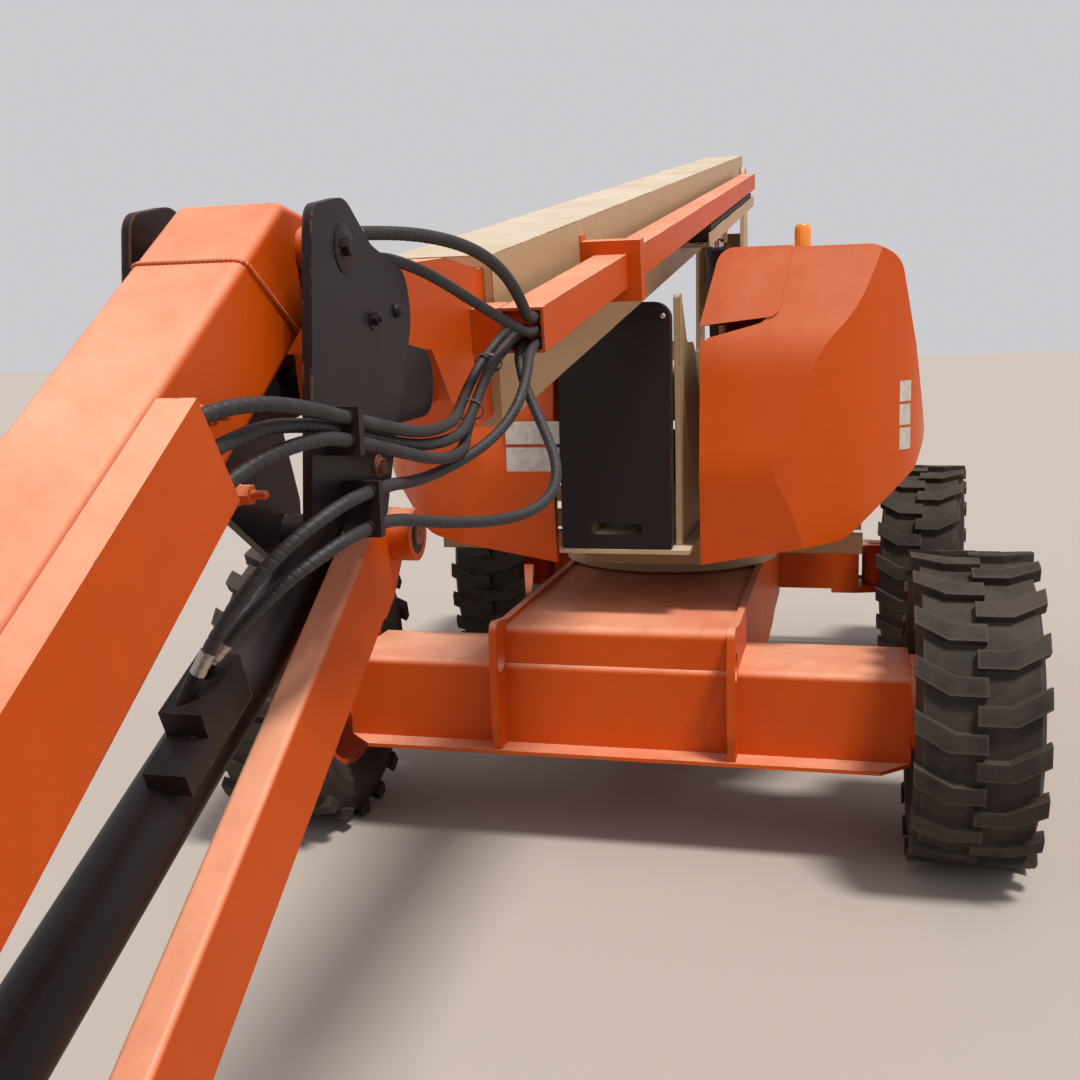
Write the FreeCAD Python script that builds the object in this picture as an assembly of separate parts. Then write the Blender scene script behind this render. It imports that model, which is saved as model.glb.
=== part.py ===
"""Articulating boom lift with a telescoping tower, a telescoping main boom and a parallelogram jib.

Millimetres. The model is drawn with +X towards the platform, +Y to the machine's left, +Z up
and its zero on the ground under the swing centre. At the end everything is shifted so that the
zero is the middle of the whole machine's footprint box, on the ground.
"""
import FreeCAD, Part
import math
import os

V = FreeCAD.Vector

# Wheels and chassis
WHEELBASE = 2400.0
OVERALL_WIDTH = 2500.0
TYRE_RADIUS = 475.0
TYRE_WIDTH = 355.0
LUG_HEIGHT = 26.0
LUG_COUNT = 19
RIM_RADIUS = 290.0
RIM_WALL = 14.0
HUB_RADIUS = 150.0
HUB_CAP_RADIUS = 105.0
SHOULDER_DROP = 24.0
GROUND_CLEARANCE = 305.0
AXLE_TOP = 585.0
AXLE_FRONT = 1310.0
AXLE_DEPTH = 390.0
AXLE_INSET = 10.0
AXLE_LIP = 90.0
AXLE_LIP_THICK = 12.0
AXLE_REACH = OVERALL_WIDTH / 2 - TYRE_WIDTH + AXLE_INSET
DECK_TOP = 705.0
DECK_THICK = 14.0
FRAME_HALF_WIDTH = 385.0
FRAME_PLATE = 24.0
FRAME_NOSE = 110.0
FRAME_TAIL = 150.0
LUG_HOLE_RADIUS = 45.0
LUG_HOLE_BACK = 60.0
LUG_HOLE_Z = 612.0
STEER_AXLE_BOTTOM = 350.0
STEER_AXLE_TOP = 545.0
KINGPIN_INSET = 55.0
KINGPIN_Y = OVERALL_WIDTH / 2 - TYRE_WIDTH - KINGPIN_INSET
KINGPIN_RADIUS = 32.0
STEER_ARM = 190.0
TOE_DEG = 7.0

# Turntable
RING_RADIUS = 430.0
RING_HEIGHT = 85.0
TABLE_BOTTOM = 800.0
TABLE_FLOOR = 930.0
TABLE_HALF_WIDTH = 215.0
TABLE_FRONT = 1060.0
TABLE_REAR = -1060.0
BASE_FRONT = 700.0
EAR_PLATE = 20.0
EAR_INNER = 160.0
TOWER_PIVOT_X = 780.0
TOWER_PIVOT_Z = 1460.0
TOWER_PIN_RADIUS = 35.0
COVER_LEFT = -205.0
COVER_RIGHT = 158.0
COVER_TOP = 1722.0
COVER_THICK = 60.0
COVER_WALL = 5.0
RUNNING_GAP = 0.3

# Hoods
HOOD_INNER_Y = 242.0
HOOD_HALF_WIDTH = 960.0
HOOD_FRONT = 1085.0
HOOD_TOP = 1885.0
HOOD_WALL = 8.0
HOOD_BOTTOM = 868.0
HOOD_HINGE_Y = 292.0
HOOD_HINGE_Z = 1850.0
HOOD_POST_X = (-620.0, 120.0)
HOOD_ARM_X = HOOD_POST_X + (640.0,)
ARM_WIDTH = 60.0
ARM_REACH = 760.0
ARM_DEPTH = 66.0
FLAP_OUTER_Y = 505.0
FLAP_REAR = 240.0
FLAP_THICK = 5.0

# Tower boom
TOWER_BASE_WIDTH = 240.0
TOWER_BASE_HEIGHT = 270.0
TOWER_FLY_WIDTH = 206.0
TOWER_FLY_HEIGHT = 232.0
TOWER_WALL = 8.0
TOWER_LENGTH = 2760.0
TOWER_BASE_LENGTH = 2480.0
TOWER_FLY_TRAVEL = 1750.0

# Upright
UPRIGHT_BOTTOM = 1160.0
UPRIGHT_PLATE = 18.0
UPRIGHT_INNER = 112.0
MAIN_PIVOT_X = -2150.0
MAIN_PIVOT_Z = 2420.0

# Main boom
BOOM_FALL_DEG = 8.82
BOOM_WIDTH = 203.0
BOOM_HEIGHT = 305.0
BOOM_WALL = 7.0
BOOM_TOP = 143.0
BOOM_LENGTH = 5138.0
BOOM_TAIL = 150.0
FLY_WIDTH = 168.0
FLY_HEIGHT = 262.0
FLY_WALL = 6.0
FLY_TRAVEL = 3800.0
NOSE_PIVOT_U = 5565.0
NOSE_PIVOT_V = 3.0
NOSE_RECESS = 22.0
TUBE_SIZE = 76.0
TUBE_WALL = 5.0
TUBE_INNER_Y = 135.0
TUBE_TOP_DROP = 80.0

# Jib
JIB_PIVOT_X = 3650.0
JIB_PIVOT_Z = 1745.0
LINK_PIVOT_X = 3400.0
LINK_PIVOT_Z = 1357.0
JIB_FALL_DEG = 33.8
JIB_LENGTH = 1530.0
JIB_WIDTH = 138.0
JIB_HEIGHT = 146.0
JIB_WALL = 6.0
JIB_EDGE = 12.0
LINK_WIDTH = 46.0
LINK_HEIGHT = 127.0
LINK_EYE = 42.0
LINK_Y = 52.0
LINK_BOSS = 33.0
SEAM_LOW = 76.0
SEAM_HIGH = 144.0
BRACKET_PLATE = 12.0
BRACKET_INNER = 108.0
BRACKET_LUG = 14.0
BRACKET_EYE = 46.0
VALVE_START = 395.0
VALVE_LENGTH = 105.0
VALVE_INNER_Y = -26.0
VALVE_OUTER_Y = 26.0
VALVE_TOP = 98.0
JIB_PIN_RADIUS = 28.0
CYL_LUG_ALONG = 1203.0
CYL_LUG_DROP = 196.0
HOSE_BOX_WIDTH = 42.0
HOSE_BOX_HEIGHT = 128.0
HOSE_BOX_GAP = 9.0
HOSE_BOX_START = 396.0
HOSE_BOX_LIP = 4.0

# Lift cylinders: radii, the plane they lie in, the barrel's length and where bore and rod begin
JIB_CYL = {"barrel": 42.0, "rod": 24.0, "eye": 38.0, "eye_half": 26.0, "pin": JIB_PIN_RADIUS, "y": -30.0,
           "tube": 950.0, "bore_start": 110.0, "rod_start": 380.0}
MAIN_CYL = {"barrel": 58.0, "rod": 36.0, "eye": 42.0, "eye_half": 38.0, "pin": 32.0, "y": 0.0,
            "tube": 640.0, "bore_start": 62.0, "rod_start": 66.0}
TOWER_CYL = {"barrel": 64.0, "rod": 40.0, "eye": 50.0, "eye_half": 42.0, "pin": 34.0, "y": 0.0,
             "tube": 700.0, "bore_start": 90.0, "rod_start": 100.0}
TOWER_CYL_X = 700.0
TOWER_CYL_Z = 1012.0
TOWER_LUG_ALONG = 900.0
TOWER_LUG_DROP = 86.0
MAIN_BASE_X = -2070.0
MAIN_BASE_Z = 1450.0
MAIN_LUG_ALONG = 330.0
MAIN_LUG_DROP = 80.0
TOWER_FALL_DEG = 4.35

# Track tube, tray and collar, measured along the boom from its pivot
TUBE_START = 405.0
TUBE_END = 5231.0
FLY_START = 760.0
FLY_END = 5160.0
COLLAR_BACK = 798.0
COLLAR_ALONG = BOOM_LENGTH - COLLAR_BACK
COLLAR_ARM_DROP = 34.0
TRAY_START = 420.0
TRAY_END = 2600.0
TRAY_OUTER = 205.0
TRAY_FLOOR = -92.0
TRACK_PITCH = 60.0
TRACK_HEIGHT = 62.0

# Hoses: the plug plate in the tube's mouth, the fittings and the clamps on the bracket
HOSE_DIAMETER = 16.0
THICK_HOSE_DIAMETER = 18.0
FITTING_RADIUS = 9.5
FITTING_LENGTH = 24.0
VALVE_FITTING = 46.0
HOSE_SEAT = 0.3
PLUG_BACK = 20.0
PLUG_THICK = 4.0
BOX_PLUG_ALONG = 440.6
CLAMP_THICK = 14.0
CLAMP_OUTER = 166.0

# Platform
PLATFORM_NEAR = 5330.0
PLATFORM_DEPTH = 900.0
PLATFORM_WIDTH = 2440.0
FLOOR_BOTTOM = 262.0
FLOOR_THICK = 48.0
RAIL_HEIGHT = 1100.0
RAIL_TUBE = 19.0
RAIL_POST = 16.0
GATE_POST = 22.0
CORNER_POST = RAIL_TUBE + 0.7
DECK_RAISE = 4.0
DECK_INSET = 52.0
MID_RAILS = (420.0, 760.0)
KICK_HEIGHT = 100.0
KICK_THICK = 4.0
GATE_WIDTH = 640.0
GATE_GAP = 6.0
ROTATOR_X = 5085.0
ROTATOR_RADIUS = 92.0
ROTATOR_LOW = 345.0
ROTATOR_HIGH = 690.0

# Wheel names, front or far axle, left or right side
WHEELS = (("front_left", 1, 1), ("front_right", 1, -1), ("rear_left", -1, 1), ("rear_right", -1, -1))

# Hose routes from their exits to their far fittings: x, y, z of each point of the bent line
HOSE_ROUTES = {
    "hose_high": ((3006.6, 195, 1667.4), (3062.4, 195, 1658.8), (3127, 202, 1684), (3183, 204, 1709),
                  (3239, 201, 1732), (3298, 193, 1750), (3356, 179, 1763), (3412, 157, 1771),
                  (3468, 131, 1774), (3528.7, 98, 1771.8), (3585, 98, 1767)),
    "hose_upper": ((3003.3, 195, 1645.7), (3058.4, 195, 1637.1), (3123, 186, 1650), (3181, 174, 1666),
                   (3237, 160, 1684), (3294, 149, 1701), (3351, 137, 1718), (3407, 122, 1733),
                   (3469.7, 98.4, 1744.9), (3525, 97, 1738)),
    "hose_inner": ((3003.3, 151, 1645.7), (3060.6, 151, 1636.8), (3118, 133, 1600), (3171, 126, 1566),
                   (3228, 129, 1539), (3288, 139, 1522), (3349, 150, 1515), (3412, 158, 1513),
                   (3475, 160, 1512), (3537, 158, 1516), (3600, 155, 1525), (3666.8, 152, 1536.5),
                   (3724, 152, 1546)),
    "hose_middle": ((3003.3, 173, 1645.7), (3061.2, 173, 1636.7), (3121, 154, 1603), (3171, 147, 1565),
                    (3224, 147, 1530), (3283, 152, 1506), (3346, 158, 1495), (3409, 158, 1492),
                    (3473, 154, 1493), (3536, 148, 1499), (3599, 142, 1510), (3666.1, 139, 1522.4),
                    (3724, 139, 1532)),
    "hose_outer": ((2999.9, 151, 1623.9), (3053.9, 151, 1615.6), (3106, 135, 1576), (3152, 129, 1539),
                   (3202, 132, 1508), (3257, 142, 1488), (3314, 155, 1475), (3372, 163, 1470),
                   (3432, 166, 1470), (3491, 164, 1476), (3549, 160, 1487), (3607, 155, 1499),
                   (3670.1, 152, 1511), (3724, 152, 1520)),
    "hose_low": ((2999.9, 195, 1623.9), (3055.3, 195, 1615.3), (3113, 205, 1581), (3161, 207, 1544),
                 (3209, 199, 1508), (3260, 182, 1480), (3313, 159, 1459), (3370, 141, 1447),
                 (3430, 134, 1443), (3491, 136, 1445), (3551, 144, 1450), (3615.9, 154, 1457),
                 (3672, 154, 1457)),
    "hose_drop": ((2999.9, 173, 1623.9), (3056.1, 173, 1615.2), (3106, 193, 1567), (3145, 219, 1527),
                  (3182, 247, 1487), (3224, 273, 1449), (3274, 286, 1416), (3331, 280, 1393),
                  (3388, 257, 1383), (3443, 230, 1384), (3497, 201, 1390), (3552, 175, 1400),
                  (3615.1, 150, 1413), (3672, 150, 1413)),
    "hose_inner_jib": ((3748, 152, 1550), (3788.6, 152, 1556.8), (3836, 152, 1565), (3880, 147, 1572),
                       (3923, 136, 1577), (3965, 119, 1576), (4009.8, 101.1, 1565.8), (4044, 99, 1543)),
    "hose_middle_jib": ((3748, 139, 1536), (3791.3, 139, 1543.2), (3842, 133, 1549), (3889, 126, 1551),
                        (3935, 115, 1545), (3983.6, 100.1, 1531.3), (4020, 99, 1506.9)),
    "hose_outer_jib": ((3748, 152, 1524), (3788.8, 152, 1530.8), (3837, 146, 1531), (3880, 134, 1526),
                       (3920, 118, 1514), (3961.2, 101.1, 1493.2), (3995.5, 99, 1470.3)),
    "hose_low_valve": ((3696, 154, 1457), (3738.8, 154, 1457), (3784, 135, 1441), (3818, 112, 1419),
                       (3843, 86, 1390), (3858, 59, 1355), (3867.6, 32, 1313.6), (3872, 12, 1276)),
    "hose_drop_valve": ((3696, 150, 1413), (3737.2, 150, 1413), (3780, 130, 1397), (3809, 103, 1376),
                        (3826, 73, 1348), (3838, 40, 1314.2), (3838, 12, 1284)),
}

# Each pair of hoses that meets at a clamp on the bracket
CLAMPED = (("hose_inner", "hose_inner_jib"), ("hose_middle", "hose_middle_jib"), ("hose_outer", "hose_outer_jib"),
           ("hose_low", "hose_low_valve"), ("hose_drop", "hose_drop_valve"))

ALONG_X = V(1, 0, 0)
ALONG_Y = V(0, 1, 0)
ALONG_Z = V(0, 0, 1)


def box(x0, x1, y0, y1, z0, z1):
    """A block between two opposite corners."""
    return Part.makeBox(x1 - x0, y1 - y0, z1 - z0, V(x0, y0, z0))


def rod_y(x, z, radius, y0, y1):
    """A round bar along Y."""
    return Part.makeCylinder(radius, y1 - y0, V(x, y0, z), ALONG_Y)


def rod_x(y, z, radius, x0, x1):
    """A round bar along X."""
    return Part.makeCylinder(radius, x1 - x0, V(x0, y, z), ALONG_X)


def rod_z(x, y, radius, z0, z1):
    """A round bar along Z."""
    return Part.makeCylinder(radius, z1 - z0, V(x, y, z0), ALONG_Z)


def bar(start, end, radius):
    """A round bar between two points."""
    return Part.makeCylinder(radius, (end - start).Length, start, end - start)


def rounded_wire(points, radius):
    """A closed wire through the points, with every corner rounded as far as its sides allow."""
    count = len(points)
    edges = []
    starts = []
    ends = []
    for i in range(count):
        corner = points[i]
        before = (points[i - 1] - corner)
        after = (points[(i + 1) % count] - corner)
        half = before.getAngle(after) / 2.0
        wanted = radius[i] if isinstance(radius, (list, tuple)) else radius
        reach = min(wanted / math.tan(half), 0.48 * before.Length, 0.48 * after.Length)
        if wanted <= 0.0 or abs(half - math.pi / 2.0) < 0.01:
            starts.append(corner)
            ends.append(corner)
            continue
        entry = corner + V(before).normalize() * reach
        leave = corner + V(after).normalize() * reach
        r = reach * math.tan(half)
        bisector = (V(before).normalize() + V(after).normalize()).normalize()
        centre = corner + bisector * (r / math.sin(half))
        middle = centre - bisector * r
        starts.append(entry)
        ends.append(leave)
        edges.append((i, Part.Arc(entry, middle, leave).toShape()))
    arcs = dict(edges)
    wire = []
    for i in range(count):
        if i in arcs:
            wire.append(arcs[i])
        following = starts[(i + 1) % count]
        if (following - ends[i]).Length > 1e-6:
            wire.append(Part.makeLine(ends[i], following))
    return Part.Wire(wire)


def plate_y(outline, y0, y1, radius=0.0):
    """A plate whose (x, z) outline is extruded along Y."""
    wire = rounded_wire([V(x, y0, z) for x, z in outline], radius)
    return Part.Face(wire).extrude(V(0, y1 - y0, 0))


def plate_x(outline, x0, x1, radius=0.0):
    """A plate whose (y, z) outline is extruded along X."""
    wire = rounded_wire([V(x0, y, z) for y, z in outline], radius)
    return Part.Face(wire).extrude(V(x1 - x0, 0, 0))


def plate_z(outline, z0, z1, radius=0.0):
    """A plate whose (x, y) outline is extruded along Z."""
    wire = rounded_wire([V(x, y, z0) for x, y in outline], radius)
    return Part.Face(wire).extrude(V(0, 0, z1 - z0))


def square_tube(x0, x1, y_mid, z_mid, width, height, wall):
    """An open rectangular tube along X."""
    outer = box(x0, x1, y_mid - width / 2, y_mid + width / 2, z_mid - height / 2, z_mid + height / 2)
    inner = box(x0 - 1, x1 + 1, y_mid - width / 2 + wall, y_mid + width / 2 - wall,
                z_mid - height / 2 + wall, z_mid + height / 2 - wall)
    return outer.cut(inner)


def turned(shape, pivot_x, pivot_z, degrees):
    """The shape turned about a Y axis; a positive angle lifts the +X end."""
    result = shape.copy()
    result.rotate(V(pivot_x, 0, pivot_z), V(0, -1, 0), degrees)
    return result


def fused(shapes):
    """All the shapes joined into one."""
    result = shapes[0].fuse(shapes[1:]) if len(shapes) > 1 else shapes[0]
    return result.removeSplitter()


def mirrored(shape):
    """The shape on the machine's other side."""
    return shape.mirror(V(0, 0, 0), ALONG_Y)


def route(name):
    """A hose's points."""
    return [V(x, y, z) for x, y, z in HOSE_ROUTES[name]]


def hose(name):
    """A hose as straight runs joined by bends tangent to them, with its tightest bend printed."""
    points = route(name)
    diameter = THICK_HOSE_DIAMETER if name == "hose_high" else HOSE_DIAMETER
    edges = []
    start = points[0]
    tightest = None
    for before, corner, after in zip(points, points[1:], points[2:]):
        into = V(before - corner)
        out = V(after - corner)
        half = into.getAngle(out) / 2
        reach = 0.45 * min(into.Length, out.Length)
        bend = reach * math.tan(half)
        tightest = bend if tightest is None else min(tightest, bend)
        into.normalize()
        out.normalize()
        bisector = V(into + out).normalize()
        edges.append(Part.makeLine(start, corner + into * reach))
        middle = corner + bisector * (bend / math.sin(half) - bend)
        edges.append(Part.Arc(corner + into * reach, middle, corner + out * reach).toShape())
        start = corner + out * reach
    edges.append(Part.makeLine(start, points[-1]))
    path = Part.Wire(edges)
    ring = Part.Wire(Part.makeCircle(diameter / 2, points[0], points[1] - points[0]))
    tube = path.makePipeShell([ring], True, False)
    wanted = math.pi * diameter ** 2 / 4 * path.Length
    print(name, "length", round(path.Length), "tightest bend", round(tightest), "volume ratio",
          round(tube.Volume / wanted, 3))
    return tube


def end_fitting(name, length):
    """The stub that a hose's far end meets, in line with its last run."""
    points = route(name)
    onward = V(points[-1] - points[-2]).normalize()
    return bar(points[-1], points[-1] + onward * length, FITTING_RADIUS)


def tyre():
    """A lugged tyre about the Y axis at the origin, its lugs fused to the carcass."""
    half = TYRE_WIDTH / 2.0
    tread = TYRE_RADIUS - LUG_HEIGHT
    profile = [
        (RIM_RADIUS, -half + 42), (RIM_RADIUS + 60, -half + 8), (tread - 55, -half + 6),
        (tread, -half + SHOULDER_DROP), (tread, half - SHOULDER_DROP),
        (tread - 55, half - 6), (RIM_RADIUS + 60, half - 8), (RIM_RADIUS, half - 42)]
    wire = Part.makePolygon([V(0, y, r) for r, y in profile + profile[:1]])
    carcass = Part.Face(wire).revolve(V(0, 0, 0), ALONG_Y, 360)
    lug_outline = ((-78, half), (-18, half), (34, 88), (34, -14), (-20, -14), (-20, 70))
    lugs = []
    for side in (1, -1):
        for index in range(LUG_COUNT):
            points = [V(t, y * side, TYRE_RADIUS - LUG_HEIGHT - 14) for t, y in lug_outline]
            face = Part.Face(Part.makePolygon(points + points[:1]))
            lug = face.extrude(V(0, 0, LUG_HEIGHT + 14))
            step = 360.0 / LUG_COUNT
            lug.rotate(V(0, 0, 0), ALONG_Y, step * (index + 0.25 * (1 - side)))
            lugs.append(lug)
    blank = rod_y(0, 0, TYRE_RADIUS, -half, half)
    return carcass.fuse(lugs).common(blank)


def rim(outward):
    """A dished wheel about the Y axis, its hub side facing inwards."""
    half = TYRE_WIDTH / 2.0 - 42
    barrel = rod_y(0, 0, RIM_RADIUS, -half, half).cut(rod_y(0, 0, RIM_RADIUS - RIM_WALL, -half - 1, half + 1))
    disc = rod_y(0, 0, RIM_RADIUS - RIM_WALL, 0, RIM_WALL)
    cap = rod_y(0, 0, HUB_CAP_RADIUS, RIM_WALL, 96)
    cap = cap.fuse(rod_y(0, 0, HUB_CAP_RADIUS - 35, 96, 118))
    wheel = fused([barrel, disc, cap])
    return wheel if outward > 0 else mirrored(wheel)


def axle_block():
    """The drive axle beam's filled form with the lip along its bottom edge."""
    front = AXLE_FRONT
    rear = front - AXLE_DEPTH
    beam = box(rear, front, -AXLE_REACH, AXLE_REACH, GROUND_CLEARANCE, AXLE_TOP)
    beam = beam.makeFillet(24.0, [e for e in beam.Edges if is_along_y(e, AXLE_TOP)])
    lip = plate_z(((rear - 30, -AXLE_REACH + 60), (rear, -AXLE_REACH), (front, -AXLE_REACH),
                   (front + AXLE_LIP, -AXLE_REACH + 90), (front + AXLE_LIP, AXLE_REACH - 90), (front, AXLE_REACH),
                   (rear, AXLE_REACH), (rear - 30, AXLE_REACH - 60)),
                  GROUND_CLEARANCE, GROUND_CLEARANCE + AXLE_LIP_THICK)
    return fused([beam, lip])


def drive_axle():
    """The wide hollow beam across the chassis with its two end hubs."""
    front = AXLE_FRONT
    rear = front - AXLE_DEPTH
    hollow = box(rear + 14, front - 14, -AXLE_REACH + 14, AXLE_REACH - 14, GROUND_CLEARANCE + 14, AXLE_TOP - 26)
    wheel_y = OVERALL_WIDTH / 2 - TYRE_WIDTH / 2
    pieces = [axle_block().cut(hollow)]
    for sign in (1, -1):
        y0, y1 = sorted((sign * (AXLE_REACH - 4), sign * (wheel_y - RUNNING_GAP)))
        pieces.append(rod_y(WHEELBASE / 2, TYRE_RADIUS, HUB_RADIUS, y0, y1))
    return fused(pieces)


def chassis_frame():
    """The welded chassis: deck, side plates, belly and the swing ring's seat, set over the drive axle."""
    front = AXLE_FRONT
    rear = front - AXLE_DEPTH
    nose = front + FRAME_NOSE
    tail = -WHEELBASE / 2 - FRAME_TAIL
    inner = FRAME_HALF_WIDTH - FRAME_PLATE
    side_outline = ((tail, 420), (tail + 120, 330), (-700, 330), (-500, GROUND_CLEARANCE),
                    (nose - 34, GROUND_CLEARANCE), (nose - 8, 400), (nose, 610), (nose - 12, DECK_TOP + 36),
                    (front - 60, DECK_TOP + 14), (tail, DECK_TOP + 4))
    side = plate_y(side_outline, inner, FRAME_HALF_WIDTH, [20, 60, 120, 120, 12, 60, 60, 30, 80, 10])
    hole = rod_y(nose - LUG_HOLE_BACK, LUG_HOLE_Z, LUG_HOLE_RADIUS, -OVERALL_WIDTH, OVERALL_WIDTH)
    side = side.cut(hole)
    bend = 30.0
    skin = plate_y(((tail, DECK_TOP - 60), (tail, DECK_TOP), (front - 10, DECK_TOP), (front - 10, AXLE_TOP - 20)),
                   -inner, inner, [0, 0, bend, 0])
    skin = skin.cut(plate_y(((tail - 1, DECK_TOP - 90), (tail - 1, DECK_TOP - DECK_THICK),
                             (front - 10 - DECK_THICK, DECK_TOP - DECK_THICK),
                             (front - 10 - DECK_THICK, AXLE_TOP - 60)), -inner, inner, [0, 0, bend - DECK_THICK, 0]))
    belly = box(tail + 320, rear + 20, -inner, inner, 345, 345 + DECK_THICK)
    tail_plate = box(tail, tail + 14, -inner, inner, 470, DECK_TOP - DECK_THICK)
    ring_seat = rod_z(0, 0, RING_RADIUS - 60, DECK_TOP - 2, DECK_TOP + 12)
    axle_seat = box(-WHEELBASE / 2 - 90, -WHEELBASE / 2 + 90, -inner, inner, STEER_AXLE_TOP + RUNNING_GAP,
                    STEER_AXLE_TOP + 50)
    frame = fused([side, mirrored(side), skin, belly, tail_plate, ring_seat, axle_seat])
    axle_room = box(-WHEELBASE / 2 - 118, -WHEELBASE / 2 + 118, -inner - 60, inner + 60, 200,
                    STEER_AXLE_TOP + RUNNING_GAP)
    return frame.cut(axle_room).cut(axle_block())


def is_along_y(edge, z):
    """Whether an edge runs along Y at the given height."""
    middle = edge.BoundBox
    return middle.YLength > 100 and middle.XLength < 1e-3 and abs(middle.ZMax - z) < 1e-3


def steer_axle():
    """The far axle's beam with its kingpin forks."""
    x = -WHEELBASE / 2
    beam_end = KINGPIN_Y - 75
    beam = box(x - 105, x + 105, -beam_end, beam_end, STEER_AXLE_BOTTOM, STEER_AXLE_TOP)
    hollow = box(x - 93, x + 93, -beam_end - 1, beam_end + 1, STEER_AXLE_BOTTOM + 12, STEER_AXLE_TOP - 12)
    pieces = [beam.cut(hollow)]
    for sign in (1, -1):
        for z0, z1 in ((STEER_AXLE_BOTTOM - 20, STEER_AXLE_BOTTOM + 12), (STEER_AXLE_TOP - 12, STEER_AXLE_TOP + 20)):
            outline = [(x - 105, sign * (beam_end - 130)), (x + 105, sign * (beam_end - 130)),
                       (x + 105, sign * (beam_end - 20)), (x + 62, sign * (KINGPIN_Y + 62)),
                       (x - 62, sign * (KINGPIN_Y + 62)), (x - 105, sign * (beam_end - 20))]
            fork = plate_z(outline, z0, z1, [0, 0, 30, 60, 60, 30])
            pieces.append(fork.cut(rod_z(x, sign * KINGPIN_Y, KINGPIN_RADIUS + 0.05, z0 - 1, z1 + 1)))
        web = box(x - 105, x + 105, min(sign * (beam_end - 14), sign * beam_end),
                  max(sign * (beam_end - 14), sign * beam_end), STEER_AXLE_BOTTOM, STEER_AXLE_TOP)
        pieces.append(web)
    return fused(pieces)


def knuckle(sign):
    """A steered knuckle: kingpin, body, spindle and steering arm, turned to its own toe."""
    x = -WHEELBASE / 2
    low = STEER_AXLE_BOTTOM + 14
    high = STEER_AXLE_TOP - 14
    wheel_y = OVERALL_WIDTH / 2 - TYRE_WIDTH / 2
    y = KINGPIN_Y
    body = rod_z(x, y, 60, low, high)
    pin = rod_z(x, y, KINGPIN_RADIUS, STEER_AXLE_BOTTOM - 24, STEER_AXLE_TOP + 24)
    spindle = rod_y(x, TYRE_RADIUS, 52, y, wheel_y - RUNNING_GAP)
    flange = rod_y(x, TYRE_RADIUS, 120, wheel_y - 40, wheel_y - RUNNING_GAP)
    arm = plate_z([(x + 30, y - 30), (x + 30, y + 34), (x - STEER_ARM - 28, y + 30), (x - STEER_ARM - 28, y - 30)],
                  low + 2, low + 30, [10, 10, 26, 26])
    shape = fused([body, pin, spindle, flange, arm])
    if sign < 0:
        shape = mirrored(shape)
    shape.rotate(V(x, sign * y, 0), ALONG_Z, -sign * TOE_DEG)
    return shape


def arm_end(sign):
    """The tie rod's ball centre on a knuckle's arm, after its toe."""
    x = -WHEELBASE / 2
    toe = math.radians(-sign * TOE_DEG)
    return V(x - STEER_ARM * math.cos(toe), sign * KINGPIN_Y - STEER_ARM * math.sin(toe), 0)


def tie_rod():
    """The rod between the two steering arms, running just under them."""
    top = STEER_AXLE_BOTTOM + 16 - RUNNING_GAP
    left, right = arm_end(-1), arm_end(1)
    start = V(left.x, left.y, top - 22)
    end = V(right.x, right.y, top - 22)
    pieces = [bar(start, end, 19)]
    for ball in (start, end):
        pieces.append(rod_z(ball.x, ball.y, 30, top - 44, top))
    return fused(pieces)


def turntable_frame():
    """The turntable: base box, floor, swing ring, tower ears and the lift cylinder's pin."""
    base = box(TABLE_REAR, BASE_FRONT, -TABLE_HALF_WIDTH, TABLE_HALF_WIDTH, TABLE_BOTTOM, TABLE_FLOOR - 14)
    base = base.cut(box(TABLE_REAR + 14, BASE_FRONT - 14, -TABLE_HALF_WIDTH + 14, TABLE_HALF_WIDTH - 14,
                        TABLE_BOTTOM + 14, TABLE_FLOOR - 14))
    floor = box(TABLE_REAR, TABLE_FRONT + 74, -TABLE_HALF_WIDTH, TABLE_HALF_WIDTH, TABLE_FLOOR - 14, TABLE_FLOOR)
    ring = rod_z(0, 0, RING_RADIUS, DECK_TOP + 12 + RUNNING_GAP, TABLE_BOTTOM)
    ear_outline = ((-420, TABLE_FLOOR), (1040, TABLE_FLOOR), (1040, 1250), (1062, 1740), (1012, 1748),
                   (TOWER_PIVOT_X + 95, 1590), (TOWER_PIVOT_X - 95, 1590), (300, 1160), (-420, 1080))
    ear = plate_y(ear_outline, EAR_INNER, EAR_INNER + EAR_PLATE, [0, 0, 60, 10, 10, 70, 110, 80, 40])
    ear = ear.cut(rod_y(TOWER_PIVOT_X, TOWER_PIVOT_Z, TOWER_PIN_RADIUS + 0.05, 0, 400))
    pin = rod_y(TOWER_CYL_X, TOWER_CYL_Z, TOWER_CYL["pin"], -EAR_INNER - 2, EAR_INNER + 2)
    return fused([base, floor, ring, ear, mirrored(ear), pin])


def hood_arms():
    """The arms that reach out from the turntable's base under the hoods."""
    top = TABLE_FLOOR - 14
    arms = []
    for x in HOOD_ARM_X:
        arm = box(x, x + ARM_WIDTH, TABLE_HALF_WIDTH, ARM_REACH, top - ARM_DEPTH, top)
        arms += [arm, mirrored(arm)]
    return Part.makeCompound(arms)


def hood_posts():
    """The bent plates that stand on the arms and hold the hoods by their inner edges."""
    foot = TABLE_FLOOR - 14
    inner_y = TABLE_HALF_WIDTH
    outline = ((inner_y, foot), (HOOD_INNER_Y + 10, foot), (HOOD_INNER_Y + 10, 1640), (HOOD_HINGE_Y + 4, HOOD_HINGE_Z),
               (HOOD_HINGE_Y - 28, HOOD_HINGE_Z), (inner_y, 1640))
    posts = []
    for x in HOOD_POST_X:
        post = plate_x(outline, x, x + ARM_WIDTH).cut(hood_form(-RUNNING_GAP))
        posts += [post, mirrored(post)]
    return Part.makeCompound(posts)


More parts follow.
